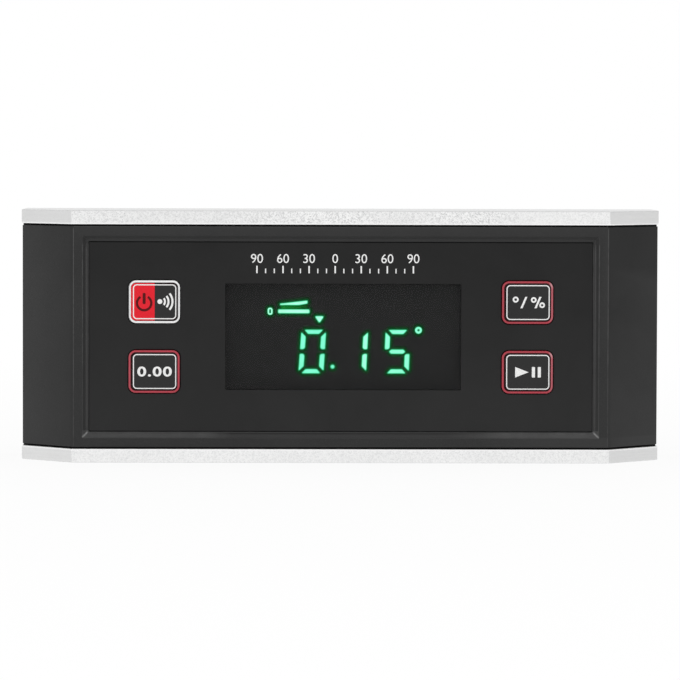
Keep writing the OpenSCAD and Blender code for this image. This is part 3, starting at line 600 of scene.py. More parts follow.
def cell_foam():
    feed = new_finish("cell_foam", 0.2, Sheen_Weight=0.2)
    pores = cells(2600.0)["Distance"]
    cloud = use(GRAIN, Scale=1500.0)["Cloud"]
    colour = tint(span(pores, 0.0, 1.0, 0.1, 0.7), grey(0.006), grey(0.03))
    return feed(colour, span(cloud, 0.85, 0.98), pores, 0.0002, 0.8)


def soft_polymer(name, dark, light, low, high, scale=3000.0, specular=0.45):
    """Wire insulation, nylon, rubber and shrink wrap: smooth, with slow tone and a fine skin."""
    feed = new_finish(name, specular)
    grain = use(GRAIN, Scale=scale)
    marks = use(MARKS, Scale=90.0)
    colour = tint(grain["Cloud"], dark, light)
    colour = tint(times(marks["Scratch"], 0.15), colour, tuple(0.6 * c for c in dark))
    return feed(colour, span(marks["Smudge"], low, high), grain["Height"], 0.00001, 0.4)


SHELL = textured_shell("black_shell", 0.35, 0.0)
# Red rim: painted shade darkens its edges, and paler painted highlights lie on its side and upper right
# corner.
RED_RIM = glossy_rim(
    "red_rim", (0.4, 0.016, 0.035), (0.52, 0.024, 0.052), (0.042, 0.002, 0.004),
    (0.00004, 0.0002), (0.00044, 0.00062), rubbed=((0.62, 0.3, 0.34), (0.8, 0.49, 0.52))
)
WHITE_RIM = glossy_rim(
    "white_rim", grey(0.92), grey(0.96), (0.02, 0.02, 0.021), (0.00004, 0.00014), (0.0005, 0.0006), 0.00015
)
WHITE_INK = screen_ink("white_ink", grey(0.8), (0.95, 0.95, 0.94))
RED_INK = screen_ink("red_ink", (0.71, 0.009, 0.02), (0.83, 0.0135, 0.0285))
# Near-black red for the band inside the keys' rims: painted shadow.
SHADOW_INK = screen_ink("painted_shadow_ink", (0.008, 0.0004, 0.0008), (0.014, 0.0006, 0.0014), 0.75)
MAROON_INK = screen_ink("maroon_ink", (0.068, 0.0004, 0.0009), (0.098, 0.0007, 0.0013))
LIT = lit_glow("lit_stroke")
LIT_HALO = lit_glow("stroke_halo")
TINNED = plated_metal("tinned_contact", (0.5, 0.49, 0.47), (0.76, 0.75, 0.72), 0.22, 0.4)
BLUE_WRAP = soft_polymer("blue_wrap", (0.012, 0.05, 0.17), (0.018, 0.075, 0.24), 0.2, 0.3)
PALE_WRAP = soft_polymer("pale_wrap", (0.5, 0.52, 0.54), (0.62, 0.64, 0.66), 0.2, 0.3)
# Near-black rubber of the strips in the rail gaps, which are painted shade.
GAP_SHADOW = soft_polymer("gap_shadow_rubber", grey(0.003), grey(0.005), 0.7, 0.85, 2400.0, 0.2)

FINISHES = {
    "frame": blasted_aluminium(),
    "magnet": plated_metal("magnet_nickel", (0.46, 0.44, 0.41), (0.68, 0.66, 0.63), 0.18, 0.34),
    "shell": SHELL,
    "panel": black_plastic(
        "satin_panel", 8000.0, grey(0.0016), grey(0.003), (0.46, 0.6), 0.000012, 0.325, greyed_edges(0.25),
        grey(0.0085)
    ),
    "smoked_window": smoked_lens(),
    "foam": cell_foam(),
    "display": display_film(),
    "lit": LIT,
    "key": black_plastic(
        "key_black", 6000.0, grey(0.005), grey(0.0068), (0.42, 0.55), 0.000014, 0.41, greyed_edges(0.3)
    ),
    "white_rim": WHITE_RIM,
    "red_rim": RED_RIM,
    "plunger": soft_polymer("white_nylon", (0.6, 0.59, 0.55), (0.72, 0.71, 0.67), 0.32, 0.45),
    "board": solder_mask_board(),
    "chip": black_plastic(
        "chip_epoxy", 5200.0, grey(0.008), grey(0.016), (0.48, 0.66), 0.00002, 0.45, greyed_edges(0.4)
    ),
    "ceramic": fired_ceramic(),
    "plated": TINNED,
    "screw": plated_metal("zinc_screw", (0.34, 0.34, 0.35), (0.56, 0.56, 0.57), 0.26, 0.42),
    "insert": plated_metal("turned_brass", (0.42, 0.26, 0.08), (0.72, 0.5, 0.2), 0.2, 0.36),
    "cell": BLUE_WRAP,
    "red_wire": soft_polymer("red_insulation", (0.32, 0.012, 0.012), (0.44, 0.02, 0.018), 0.3, 0.42),
    "black_wire": soft_polymer("black_insulation", grey(0.008), grey(0.014), 0.32, 0.46),
}
# The shell's rounded-edge finish is lighter grey, partly wear and partly painted highlight.
EDGE_FINISHES = {"frame": bare_arris(), "shell": textured_shell("shell_edge_worn_and_highlit", 0.36, 0.75)}


# Solids of the frame: finish, and rounded arrises

ARRIS_WIDTH = {
    "frame": 0.14, "front_housing": 0.12, "rear_cover": 0.12, "battery_door": 0.2,
    "front_panel": 0.05, "display_window": 0.02, "magnets": 0.25, "cover_screws": 0.3,
    "board_screws": 0.22, "sensor_screws": 0.22, "thread_inserts": 0.15, "main_board": 0.06,
    "sensor_board": 0.06, "controller_chip": 0.12, "tilt_sensor": 0.1, "crystal": 0.2,
    "capacitors": 0.12, "buzzer": 0.25, "switch_bases": 0.2, "sensor_header": 0.12,
    "display_body": 0.15, "link_contact": 0.06, "spring_contact": 0.06, "button_contact": 0.06,
    "door_pad": 0.1, "window_foam": 0.08, "display_pins": 0.05,
}
for key in KEYS:
    ARRIS_WIDTH[f"{key}_key_cap"] = 0.06
    ARRIS_WIDTH[f"{key}_key_rim"] = 0.26
    ARRIS_WIDTH[f"{key}_switch_plunger"] = 0.2


def bevelled(made, width, segments, angle):
    arris = made.modifiers.new("arris", "BEVEL")
    arris.width = width * MM
    arris.segments = segments
    arris.limit_method = "ANGLE"
    arris.angle_limit = math.radians(angle)
    return arris


def rounded_arrises(solid, width, finish_index):
    """Merged flats, rounded sharp edges and even shading on one of the frame's solids."""
    weld = solid.modifiers.new("weld", "WELD")
    weld.merge_threshold = 1e-6
    flats = solid.modifiers.new("flats", "DECIMATE")
    flats.decimate_type = "DISSOLVE"
    flats.angle_limit = math.radians(0.5)
    arris = bevelled(solid, width, 3, 28)
    arris.material = finish_index
    arris.use_clamp_overlap = False
    arris.loop_slide = False
    shade = solid.modifiers.new("shade", "WEIGHTED_NORMAL")
    shade.keep_sharp = False


for name, solid in nodes.items():
    slot = solid.data.materials[0].name.split(".")[0]
    solid.data.materials.clear()
    solid.data.materials.append(FINISHES[slot])
    solid.data.shade_smooth()
    if slot in EDGE_FINISHES:
        solid.data.materials.append(EDGE_FINISHES[slot])
    if name in ARRIS_WIDTH:
        rounded_arrises(solid, ARRIS_WIDTH[name], 1 if slot in EDGE_FINISHES else -1)


# Pieces made here

def placed(name, data):
    made = bpy.data.objects.new(name, data)
    scene.collection.objects.link(made)
    return made


def shaped(name, bm, finishes):
    """An object with the shape of a bmesh, which is used up."""
    mesh = bpy.data.meshes.new(name)
    bm.to_mesh(mesh)
    bm.free()
    for finish in finishes:
        mesh.materials.append(finish)
    return placed(name, mesh)


def piece_of(name, bm, finishes, body):
    """A piece from a finished bmesh, riding on its body."""
    bmesh.ops.recalc_face_normals(bm, faces=bm.faces)
    made = shaped(name, bm, finishes)
    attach(made, body)
    return made


def soften(made, width, segments, angle=30.0):
    """Rounded edges and even shading on a piece."""
    bevelled(made, width, segments, angle)
    made.data.shade_smooth()
    made.modifiers.new("shade", "WEIGHTED_NORMAL")
    return made


def row_of(bm, outline, y):
    """Points of an outline in X and Z at a depth, all in millimetres."""
    return [bm.verts.new((x * MM, y * MM, z * MM)) for x, z in outline]


def strip(bm, first, second, closed=True):
    """Faces between two rows of points, either of which may be a single point."""
    faces = []
    count = max(len(first), len(second))
    for i in range(count if closed else count - 1):
        corners = ((first, i), (first, i + 1), (second, i + 1), (second, i))
        points = dict.fromkeys(row[k % len(row)] for row, k in corners)
        faces.append(bm.faces.new(list(points)))
    return faces


def slab(bm, outline, y_back, y_front, inner=None, closed=True, finish=0):
    """A thin plate in X and Z, in millimetres: an outline, or the band between it and an inner one."""
    front, back = row_of(bm, outline, y_front), row_of(bm, outline, y_back)
    faces = strip(bm, front, back, closed)
    if inner is None:
        faces += [bm.faces.new(front), bm.faces.new(back)]
    else:
        front_in, back_in = row_of(bm, inner, y_front), row_of(bm, inner, y_back)
        for first, second in ((front_in, back_in), (front, front_in), (back, back_in)):
            faces += strip(bm, first, second, closed)
        if not closed:
            for end in (0, -1):
                faces.append(bm.faces.new((front[end], front_in[end], back_in[end], back[end])))
    for face in faces:
        face.material_index = finish


def arc(centre, r, start, end, steps):
    turn = [math.radians(start + (end - start) * i / steps) for i in range(steps + 1)]
    return [(centre[0] + r * math.cos(a), centre[1] + r * math.sin(a)) for a in turn]


def rounded_outline(at, w, h, r, steps=8):
    """Points round a rectangle with round corners."""
    points = []
    for sx, sz, start in ((1, 1, 0), (-1, 1, 90), (-1, -1, 180), (1, -1, 270)):
        centre = (at[0] + sx * (w / 2 - r), at[1] + sz * (h / 2 - r))
        points += arc(centre, r, start, start + 90, steps)
    return points


def numerals(bm, text, at, box, y_back, y_front, bold=0.0):
    """Plain figures set to fill a box, width by height, as a thin print; bolder ones stand further apart."""
    curve = bpy.data.curves.new("figures", "FONT")
    curve.body = text
    curve.offset = bold
    curve.space_character = 1.0 + 5.0 * bold
    curve.resolution_u = 6
    curve.extrude = 0.1
    lettered = placed("figures", curve)
    bpy.context.view_layer.update()
    mesh = bpy.data.meshes.new_from_object(lettered.evaluated_get(bpy.context.evaluated_depsgraph_get()))
    across = [v.co.x for v in mesh.vertices]
    up = [v.co.y for v in mesh.vertices]
    step_z = box[1] / (max(up) - min(up))
    step_x = box[0] / (max(across) - min(across)) or step_z
    for v in mesh.vertices:
        x = at[0] + (v.co.x - (max(across) + min(across)) / 2) * step_x
        z = at[1] + (v.co.y - (max(up) + min(up)) / 2) * step_z
        y = y_front if v.co.z > 0 else y_back
        v.co = (x * MM, y * MM, z * MM)
    bm.from_mesh(mesh)
    bpy.data.objects.remove(lettered)
    bpy.data.curves.remove(curve)
    bpy.data.meshes.remove(mesh)


# Lit reading behind the window: colours hold their light, and the share of black under it

GREEN_CORE = (0.19, 0.84, 0.54, 1.0)
FAIR_CORE = (0.24, 0.87, 0.56, 1.0)
PALE_CORE = (0.3, 0.9, 0.6, 1.0)
SIGN_CORE = (0.36, 0.92, 0.64, 1.0)
STROKE_SHOULDER = (0.055, 0.6, 0.3, 1.0)
STROKE_EDGE = (0.0, 0.12, 0.045, 1.0)
HOLE_LIGHT = (0.0, 0.15, 0.055, 1.0)
BETWEEN_NEAR = (0.0, 0.16, 0.014, 1.0)
BETWEEN_FAR = (0.0, 0.055, 0.005, 1.0)
HALO_SHADES = (
    (0.0, 0.088, 0.016, 1.0), (0.0, 0.064, 0.011, 1.0), (0.0, 0.027, 0.005, 1.0), (0.0, 0.0, 0.0, 0.0),
)
HALO_REACH = (0.0, 0.14, 0.42, 1.0)
HALO_LIFT = 0.08
HALO_STEP = 0.02
STROKE_STEP = 0.0005
BETWEEN_LIFT = 0.1
BETWEEN_OVERLAP = 0.2
BETWEEN_IN = (0.3, 0.15)
WEDGE_END = 0.4
EDGE_BANDS = (0.12, 0.3)
RING_BANDS = (0.05, 0.12)
PALE_FROM_X = 0.0
FAIR_FROM_X = 11.0
DEGREE_FROM_X = 17.3
SIGNS_Z = 33.0
LEVEL_SHAPE = 2.5
LEVEL_SHORTER = 0.21
MIDDLE_LONGER = 0.14
MIDDLE_HALF = 3.0
UPRIGHT = 0.0014
UPRIGHT_FROM_X = -7.0
CORNER_R = 0.42
CORNER_TURN = 30.0
CORNER_SHARE = 0.4
CORNER_STEPS = 4
STRAIGHT = 0.99995


def outline_loops(bm):
    """Closed outlines of a flat mesh in X and Z, in millimetres."""
    loops = []
    left = {e for e in bm.edges if e.is_boundary}
    while left:
        first = next(e for e in bm.edges if e in left)
        left.discard(first)
        points = [first.verts[0], first.verts[1]]
        while points[-1] != points[0]:
            step = next(e for e in points[-1].link_edges if e in left)
            left.discard(step)
            points.append(step.other_vert(points[-1]))
        loops.append([(v.co.x / MM, v.co.z / MM) for v in points[:-1]])
    return loops


def area_of(loop):
    ahead = loop[1:] + loop[:1]
    return sum(a[0] * b[1] - b[0] * a[1] for a, b in zip(loop, ahead)) / 2


def stroke_outlines():
    """The frame's lit strokes as flat islands, each a list of outlines: the outer one first, then its holes.

    The lit side of each outline is on its left.
    """
    bm = bmesh.new()
    bm.from_mesh(nodes["lit_segments"].data)
    bmesh.ops.remove_doubles(bm, verts=bm.verts, dist=1e-6)
    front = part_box("lit_segments")[0].y
    behind = [v for v in bm.verts if v.co.y > front + 0.01 * MM]
    bmesh.ops.delete(bm, geom=behind, context="VERTS")
    loops = sorted(outline_loops(bm), key=lambda loop: -abs(area_of(loop)))
    bm.free()
    levels = [z for loop in loops for _, z in loop if z < SIGNS_Z]
    mid_z = (max(levels) + min(levels)) / 2
    islands = []
    for loop in loops:
        loop = more_upright(fitted_level(loop, mid_z), mid_z)
        outer = next((island for island in islands if inside(loop[0], island[0])), None)
        way = 1 if outer is None else -1
        loop = rounded_loop(straightened(loop if area_of(loop) * way > 0 else loop[::-1]))
        if outer is None:
            islands.append([loop])
        else:
            outer.append(loop)
    return islands


def fitted_level(loop, mid_z):
    """The outline; a digit's top or bottom stroke is drawn in at its ends, and its middle one drawn out."""
    (x0, x1), (z0, z1) = ((min(side), max(side)) for side in zip(*loop))
    middle = (x0 + x1) / 2
    if z1 > SIGNS_Z or x1 - x0 < LEVEL_SHAPE * (z1 - z0):
        return loop
    longer = MIDDLE_LONGER if abs((z0 + z1) / 2 - mid_z) < MIDDLE_HALF else -LEVEL_SHORTER
    share = 1 + 2 * longer / (x1 - x0)
    return [(middle + (x - middle) * share, z) for x, z in loop]


def more_upright(loop, mid_z):
    """The outline of a digit's stroke, leaning less the further right it is."""
    if loop[0][1] > SIGNS_Z or loop[0][0] > DEGREE_FROM_X:
        return loop
    return [(x - UPRIGHT * (x - UPRIGHT_FROM_X) * (z - mid_z), z) for x, z in loop]


def inside(point, loop):
    crossed = False
    for (ax, az), (bx, bz) in zip(loop, loop[1:] + loop[:1]):
        if (az > point[1]) != (bz > point[1]):
            crossed ^= point[0] < ax + (point[1] - az) * (bx - ax) / (bz - az)
    return crossed


def corners_of(loop):
    """Each point of an outline, the unit steps into and out of it, and the length of the shorter one."""
    for i, point in enumerate(loop):
        before = Vector(point) - Vector(loop[i - 1])
        after = Vector(loop[(i + 1) % len(loop)]) - Vector(point)
        yield point, before.normalized(), after.normalized(), min(before.length, after.length)


def straightened(loop):
    """The outline without the points that lie on a straight run."""
    return [point for point, before, after, _ in corners_of(loop) if before.dot(after) < STRAIGHT]


def rounded_loop(loop):
    """The outline with its sharp corners rounded."""
    points = []
    for point, before, after, room in corners_of(loop):
        if before.dot(after) > math.cos(math.radians(CORNER_TURN)):
            points.append(point)
            continue
        back = min(CORNER_R * math.tan(before.angle(after) / 2), CORNER_SHARE * room)
        for step in range(CORNER_STEPS + 1):
            t = step / CORNER_STEPS
            at = Vector(point) + back * (t ** 2 * after - (1 - t) ** 2 * before)
            points.append((at.x, at.y))
    return points


def offset_loop(loop, distance):
    """The outline moved square to itself, away from the lit side."""
    shifted = []
    for (x, z), before, after, _ in corners_of(loop):
        side = Vector((before.y + after.y, -before.x - after.x)).normalized()
        reach = distance / max(0.5, side.dot(Vector((after.y, -after.x))))
        shifted.append((x + side.x * reach, z + side.y * reach))
    return shifted


def lit_face(face, glow, shades):
    for loop, shade in zip(face.loops, shades):
        loop[glow] = shade


def glow_strip(bm, glow, first, second, near, far):
    """Faces between two rings of points, coloured from one ring to the other."""
    for face in strip(bm, first, second):
        lit_face(face, glow, (near, near, far, far))


def core_colour(outline):
    x, z = (sum(side) / len(outline) for side in zip(*outline))
    if z > SIGNS_Z:
        return SIGN_CORE
    if x > FAIR_FROM_X:
        return FAIR_CORE
    return PALE_CORE if x > PALE_FROM_X else GREEN_CORE


def lit_reading():
    """Strokes with a bright core that falls off to a dark edge."""
    front, back = (corner.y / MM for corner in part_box("lit_segments"))
    bm = bmesh.new()
    glow = bm.loops.layers.float_color.new("glow")
    for island in STROKES:
        core = core_colour(island[0])
        bands = EDGE_BANDS if len(island) == 1 else RING_BANDS
        rim = []
        for loop in island:
            edge = row_of(bm, loop, front)
            shoulder, inner = (row_of(bm, offset_loop(loop, -into), front) for into in bands)
            glow_strip(bm, glow, edge, shoulder, STROKE_EDGE, STROKE_SHOULDER)
            glow_strip(bm, glow, shoulder, inner, STROKE_SHOULDER, core)
            glow_strip(bm, glow, edge, row_of(bm, loop, back), STROKE_EDGE, STROKE_EDGE)
            rim += [bm.edges.get((inner[i - 1], inner[i])) for i in range(len(inner))]
        filled = bmesh.ops.triangle_fill(bm, edges=rim, use_beauty=True)["geom"]
        for face in (f for f in filled if isinstance(f, bmesh.types.BMFace)):
            lit_face(face, glow, [core] * len(face.loops))
    made = piece_of("lit_reading", bm, [LIT], "instrument")
    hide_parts("lit_segments")


def reading_halo():
    """Green light round each stroke, on the display's face.

    Its bands overlap those of other strokes, and the nearest to a stroke lies in front.
    """
    face_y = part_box("lit_segments")[1].y / MM
    bm = bmesh.new()
    glow = bm.loops.layers.float_color.new("glow")
    for index, (outer, *holes) in enumerate(STROKES):
        for step in range(len(HALO_SHADES) - 1):
            y = face_y - (HALO_LIFT - HALO_STEP * step + STROKE_STEP * index)
            rings = (row_of(bm, offset_loop(outer, away), y) for away in HALO_REACH[step:step + 2])
            glow_strip(bm, glow, *rings, *HALO_SHADES[step:step + 2])
        for hole in holes:
            face = bm.faces.new(row_of(bm, hole[::-1], face_y - HALO_LIFT))
            lit_face(face, glow, [HOLE_LIGHT] * len(hole))
    face = bm.faces.new(row_of(bm, slot_between(), face_y - BETWEEN_LIFT))
    lit_face(face, glow, (BETWEEN_NEAR, BETWEEN_FAR, BETWEEN_FAR, BETWEEN_NEAR))
    piece_of("reading_halo", bm, [LIT_HALO], "instrument")


def slot_between():
    """Corners of the slot between the level bar and the wedge over it, which is filled with light."""
    signs = [outer for outer, *_ in STROKES if min(z for _, z in outer) > SIGNS_Z]
    bar, wedge = sorted(sorted(signs, key=area_of)[-2:], key=lambda loop: min(z for _, z in loop))
    left, right = (pick(x for x, _ in wedge) for pick in (min, max))
    low = max(z for _, z in bar) - BETWEEN_OVERLAP
    foot = min(z for _, z in wedge) + BETWEEN_OVERLAP
    rise = min(z for x, z in wedge if x > right - WEDGE_END) + BETWEEN_OVERLAP
    near, far = left + BETWEEN_IN[0], right - BETWEEN_IN[1]
    return ((near, low), (far, low), (far, rise), (near, foot))


STROKES = stroke_outlines()
lit_reading()
reading_halo()


# Printed marks on the keys and the panel

def centre_xz(node):
    low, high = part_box(node)
    return ((low.x + high.x) / 2 / MM, (low.z + high.z) / 2 / MM)


KEY_AT = {key: centre_xz(f"{key}_key_rim") for key in KEYS}
INK = 0.025
CAP_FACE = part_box("power_key_cap")[0].y / MM
MARGIN_COAT = CAP_FACE - 0.6 * INK
COAT = CAP_FACE - INK
TOP_COAT = CAP_FACE - 2 * INK
CAP_CORNER = KEY_CORNER - RIM_WIDTH
CAP_IN = RIM_WIDTH + 0.03
OUTLINE_IN = 1.0
OUTLINE_WIDTH = 0.25
OUTLINE_CORNER = 0.95
MARGIN_UNDER = 0.1
PRINT_SHIFT = 0.11
RED_SPLIT = 0.12
STANDBY_AT = (-2.38, -0.32)
STANDBY_R = (1.98, 1.42)
STANDBY_BAR = (0.7, 2.65, 0.3)
STANDBY_BAR_UP = 1.1
SOUNDER_AT = (1.36, 0.05)
SOUNDER_R = 0.58
WAVES = (1.2, 2.05, 3.0)
WAVE_HALF = 0.23
ZERO_SIDES = (8.2, 2.4)
ZERO_BOLD = 0.026
UNIT_RINGS = ((-2.95, 0.7, 0.72), (1.35, 0.62, 0.68), (3.35, -0.62, 0.68))
UNIT_WIDTH = 0.4
UNIT_BARS = (-1.0, 2.35)
UNIT_BAR = ((-0.825, -1.35), (-0.325, -1.35), (0.825, 1.35), (0.325, 1.35))
RUN_SIGN = ((-3.0, -1.25), (0.2, 0.0), (-3.0, 1.25))
PAUSE_BARS = (1.35, 2.75)
PAUSE_BAR = (0.75, 2.5, 0.12)


def key_ring(bm, at, insets, corners, y_back, y_front, finish=0):
    """A printed band on a cap, between two outlines that are set in from the key's sides."""
    outer, inner = (
        rounded_outline(at, *(side - 2 * inset for side in KEY_SIDES), corner)
        for inset, corner in zip(insets, corners)
    )
    slab(bm, outer, y_back, y_front, inner, finish=finish)


def stamp(bm, outline, inner=None, closed=True):
    """A white mark on a cap."""
    slab(bm, outline, CAP_FACE, COAT, inner, closed)


def moved(outline, x, z):
    return [(x + a, z + b) for a, b in outline]


def power_signs(bm, x, z):
    """Left half red with the stand-by sign, right half with a sounder sign."""
    half_w, half_h = (side / 2 - CAP_IN for side in KEY_SIDES)
    left = x - half_w + CAP_CORNER
    field = [(x + RED_SPLIT, z - half_h), (x + RED_SPLIT, z + half_h)]
    field += arc((left, z + half_h - CAP_CORNER), CAP_CORNER, 90, 180, 8)
    field += arc((left, z - half_h + CAP_CORNER), CAP_CORNER, 180, 270, 8)
    slab(bm, field, CAP_FACE, COAT, finish=1)
    sign_x, sign_z = x + STANDBY_AT[0], z + STANDBY_AT[1]
    outer, inner = (arc((sign_x, sign_z), r, 121, 419, 40) for r in STANDBY_R)
    slab(bm, outer, COAT, TOP_COAT, inner, False, 2)
    bar = rounded_outline((sign_x, sign_z + STANDBY_BAR_UP), *STANDBY_BAR)
    slab(bm, bar, COAT, TOP_COAT, finish=2)
    dot = (x + SOUNDER_AT[0], z + SOUNDER_AT[1])
    stamp(bm, arc(dot, SOUNDER_R, 0, 348.75, 31))
    for middle in WAVES:
        outer, inner = (arc(dot, middle + side, -40, 40, 14) for side in (WAVE_HALF, -WAVE_HALF))
        stamp(bm, outer, inner, False)


def zero_signs(bm, x, z):
    """A plain zero reading."""
    numerals(bm, "0.00", (x + PRINT_SHIFT, z), ZERO_SIDES, CAP_FACE, COAT, ZERO_BOLD)


def mode_signs(bm, x, z):
    """The two units that the key swaps."""
    for across, up, size in UNIT_RINGS:
        at = (x + PRINT_SHIFT + across, z + up)
        stamp(bm, *(arc(at, r, 0, 345, 23) for r in (size, size - UNIT_WIDTH)))
    for across in UNIT_BARS:
        stamp(bm, moved(UNIT_BAR, x + PRINT_SHIFT + across, z))


def hold_signs(bm, x, z):
    """A run and pause sign."""
    stamp(bm, moved(RUN_SIGN, x + PRINT_SHIFT, z))
    for across in PAUSE_BARS:
        stamp(bm, rounded_outline((x + PRINT_SHIFT + across, z), *PAUSE_BAR, 3))


def key_print(key, signs, *inks):
    """A near-black band inside a key's rim as painted shadow, white outline and the key's signs; the last
    ink is the band's.

    The outline and most signs sit a little to the right of the cap's middle.
    """
    x, z = KEY_AT[key]
    bm = bmesh.new()
    # The band inside the rim, in the last ink: painted shadow.
    insets = (CAP_IN, OUTLINE_IN + MARGIN_UNDER)
    key_ring(bm, (x, z), insets, (CAP_CORNER, OUTLINE_CORNER), CAP_FACE, MARGIN_COAT, len(inks) - 1)
    insets, corners = zip(*((OUTLINE_IN + w, OUTLINE_CORNER - w) for w in (0.0, OUTLINE_WIDTH)))
    key_ring(bm, (x + PRINT_SHIFT, z), insets, corners, COAT, TOP_COAT)
    signs(bm, x, z)
    piece_of(f"{key}_key_print", bm, inks, f"{key}_key")


SCALE_AT = (-1.4, 47.5)
SCALE_LENGTH = 37.2
SCALE_STEP = 10
SCALE_FIGURES = 30
SCALE_END = 90
TICK_FOOT = 2.35
LONG_TICK = (1.75, 0.17)
SHORT_TICK = (1.1, 0.13)
FIGURE_UP = 1.15
FIGURE_HEIGHT = 2.15
PANEL_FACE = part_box("front_panel")[0].y / MM


def angle_scale_print():
    """Plain scale of degrees above the window."""
    x, z = SCALE_AT
    low = z - TICK_FOOT
    bm = bmesh.new()
    for angle in range(-SCALE_END, SCALE_END + 1, SCALE_STEP):
        at = x + SCALE_LENGTH / 2 * angle / SCALE_END
        figured = angle % SCALE_FIGURES == 0
        long, half = LONG_TICK if figured else SHORT_TICK
        tick = ((-half, 0.0), (half, 0.0), (half, long), (-half, long))
        slab(bm, moved(tick, at, low), PANEL_FACE, PANEL_FACE - INK)
        if figured:
            middle = (at, z + FIGURE_UP)
            numerals(bm, str(abs(angle)), middle, (0, FIGURE_HEIGHT), PANEL_FACE, PANEL_FACE - INK)
    piece_of("angle_scale_print", bm, [WHITE_INK], "instrument")


key_print("power", power_signs, WHITE_INK, RED_INK, MAROON_INK, SHADOW_INK)
key_print("zero", zero_signs, WHITE_INK, SHADOW_INK)
key_print("mode", mode_signs, WHITE_INK, SHADOW_INK)
key_print("hold", hold_signs, WHITE_INK, SHADOW_INK)
angle_scale_print()


# Near-black rubber strips set back in the gaps between the rails and the shells: painted shade in the gaps

SHADOW_STRIP_IN = 1.0
SHADOW_STRIP_IN_ENDS = 0.15
SHADOW_STRIP_WIDTH = 1.6
CORNER_WALL = 79.86


def gasket_outline(further):
    """Plan of the shells, set in: square at the back, with cut corners at the front."""
    low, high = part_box("front_housing")
    half = high.x / MM - SHADOW_STRIP_IN_ENDS - further
    front = low.y / MM + SHADOW_STRIP_IN + further
    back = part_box("rear_cover")[1].y / MM - SHADOW_STRIP_IN - further
    reach = CORNER_WALL - (SHADOW_STRIP_IN + further) * math.sqrt(2)
    right = [(reach + front, front), (half, half - reach), (half, back)]
    return [(-x, y) for x, y in right[::-1]] + right


def rail_gaskets():
    """Near-black rubber strips set back in the gaps under the top rail and over the bottom rail, painted
    shade that keeps the gaps dark.
    """
    low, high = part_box("front_housing")
    outer, inner = gasket_outline(0.0), gasket_outline(SHADOW_STRIP_WIDTH)
    bm = bmesh.new()
    for bottom, top in ((RAIL_EDGES[0], low.z / MM), (high.z / MM, RAIL_EDGES[1])):
        rings = [
            [bm.verts.new((x * MM, y * MM, z * MM)) for x, y in outline]
            for outline, z in ((outer, bottom), (outer, top), (inner, top), (inner, bottom))
        ]
        for here, there in zip(rings, rings[1:] + rings[:1]):
            strip(bm, here, there)
    piece_of("rail_gaskets", bm, [GAP_SHADOW], "instrument")


rail_gaskets()


# Battery door grip

REAR_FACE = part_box("battery_door")[1].y / MM
MID_Z = 30.0
GRIP_HEIGHT = 0.18
GRIP_ROOT = 0.1
GRIP_PLACES = (15.6, 17.4, 19.2, 21.0, 22.8, 24.6)
GRIP_WIDTH = 0.8
GRIP_CORNER = 0.39
GRIP_LENGTH = 8.5
GRIP_LONGER = 0.9


def door_grip():
    """Raised ribs beside the thumb scoop."""
    bm = bmesh.new()
    for index, x in enumerate(GRIP_PLACES):
        long = GRIP_LENGTH + GRIP_LONGER * index
        rib = rounded_outline((x, MID_Z), GRIP_WIDTH, long, GRIP_CORNER, 5)
        slab(bm, rib, REAR_FACE - GRIP_ROOT, REAR_FACE + GRIP_HEIGHT)
    soften(piece_of("door_grip", bm, [SHELL], "battery_door"), 0.12, 3)


door_grip()


# Cells and springs in the battery bay

CELL_Y = sum(corner.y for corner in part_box("battery_cells")) / 2 / MM
CELL_UP = 5.75
BAY_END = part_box("link_contact")[0].x / MM
CONTACT = 0.4
SPRING_LENGTH = 5.0
WRAP, BAND, STEEL = 0, 1, 2
CELL_R = 5.24
CELL_PROFILE = (
    (0.3, 0.0, STEEL), (0.3, 3.3, STEEL), (0.0, 3.7, STEEL), (0.0, 4.5, STEEL), (0.12, 4.62, WRAP),
    (0.06, 4.85, WRAP), (0.22, 5.14, WRAP), (0.5, CELL_R, WRAP), (26.0, CELL_R, BAND), (26.8, CELL_R, WRAP),
    (36.5, CELL_R, BAND), (37.3, CELL_R, WRAP), (42.9, CELL_R, WRAP), (43.3, 5.12, WRAP), (43.46, 4.8, WRAP),
    (43.4, 4.5, STEEL), (43.1, 4.3, STEEL), (43.1, 2.6, STEEL), (43.34, 2.3, STEEL), (43.4, 1.9, STEEL),
    (44.3, 1.84, STEEL), (44.5, 1.6, STEEL), (44.5, 0.0, STEEL),
)
CELL_TURNS = 48
SIGN_LIFT = 0.02
SIGN_STEPS = 3
WRAP_SIGNS = ((40.1, 3.0, 4.6), (40.1, 0.8, 16.5), (4.2, 0.8, 16.5))
WIRE_R = 0.35
WIRE_SIDES = 12
COIL_R = (3.6, 2.5)
COIL_TURNS = 3.5
COIL_STEPS = 112
COIL_GAP = 0.05


def bay_place(upper, along):
    """A point on a cell's axis, so far from its end contact, and the way that the cell points."""
    way = 1 if upper else -1
    return Vector((way * (BAY_END + CONTACT + along), CELL_Y, MID_Z + way * CELL_UP)), way


def round_point(along, r, turn):
    return Vector((along, r * math.cos(turn), r * math.sin(turn)))


def lathed_cell(bm, upper):
    foot, way = bay_place(upper, SPRING_LENGTH)
    rings = []
    for along, r, _ in CELL_PROFILE:
        turns = [2 * math.pi * i / CELL_TURNS for i in range(CELL_TURNS if r else 1)]
        rings.append([bm.verts.new((foot + round_point(way * along, r, a)) * MM) for a in turns])
    for low, high, (_, _, finish) in zip(rings, rings[1:], CELL_PROFILE):
        for face in strip(bm, low, high):
            face.material_index = finish


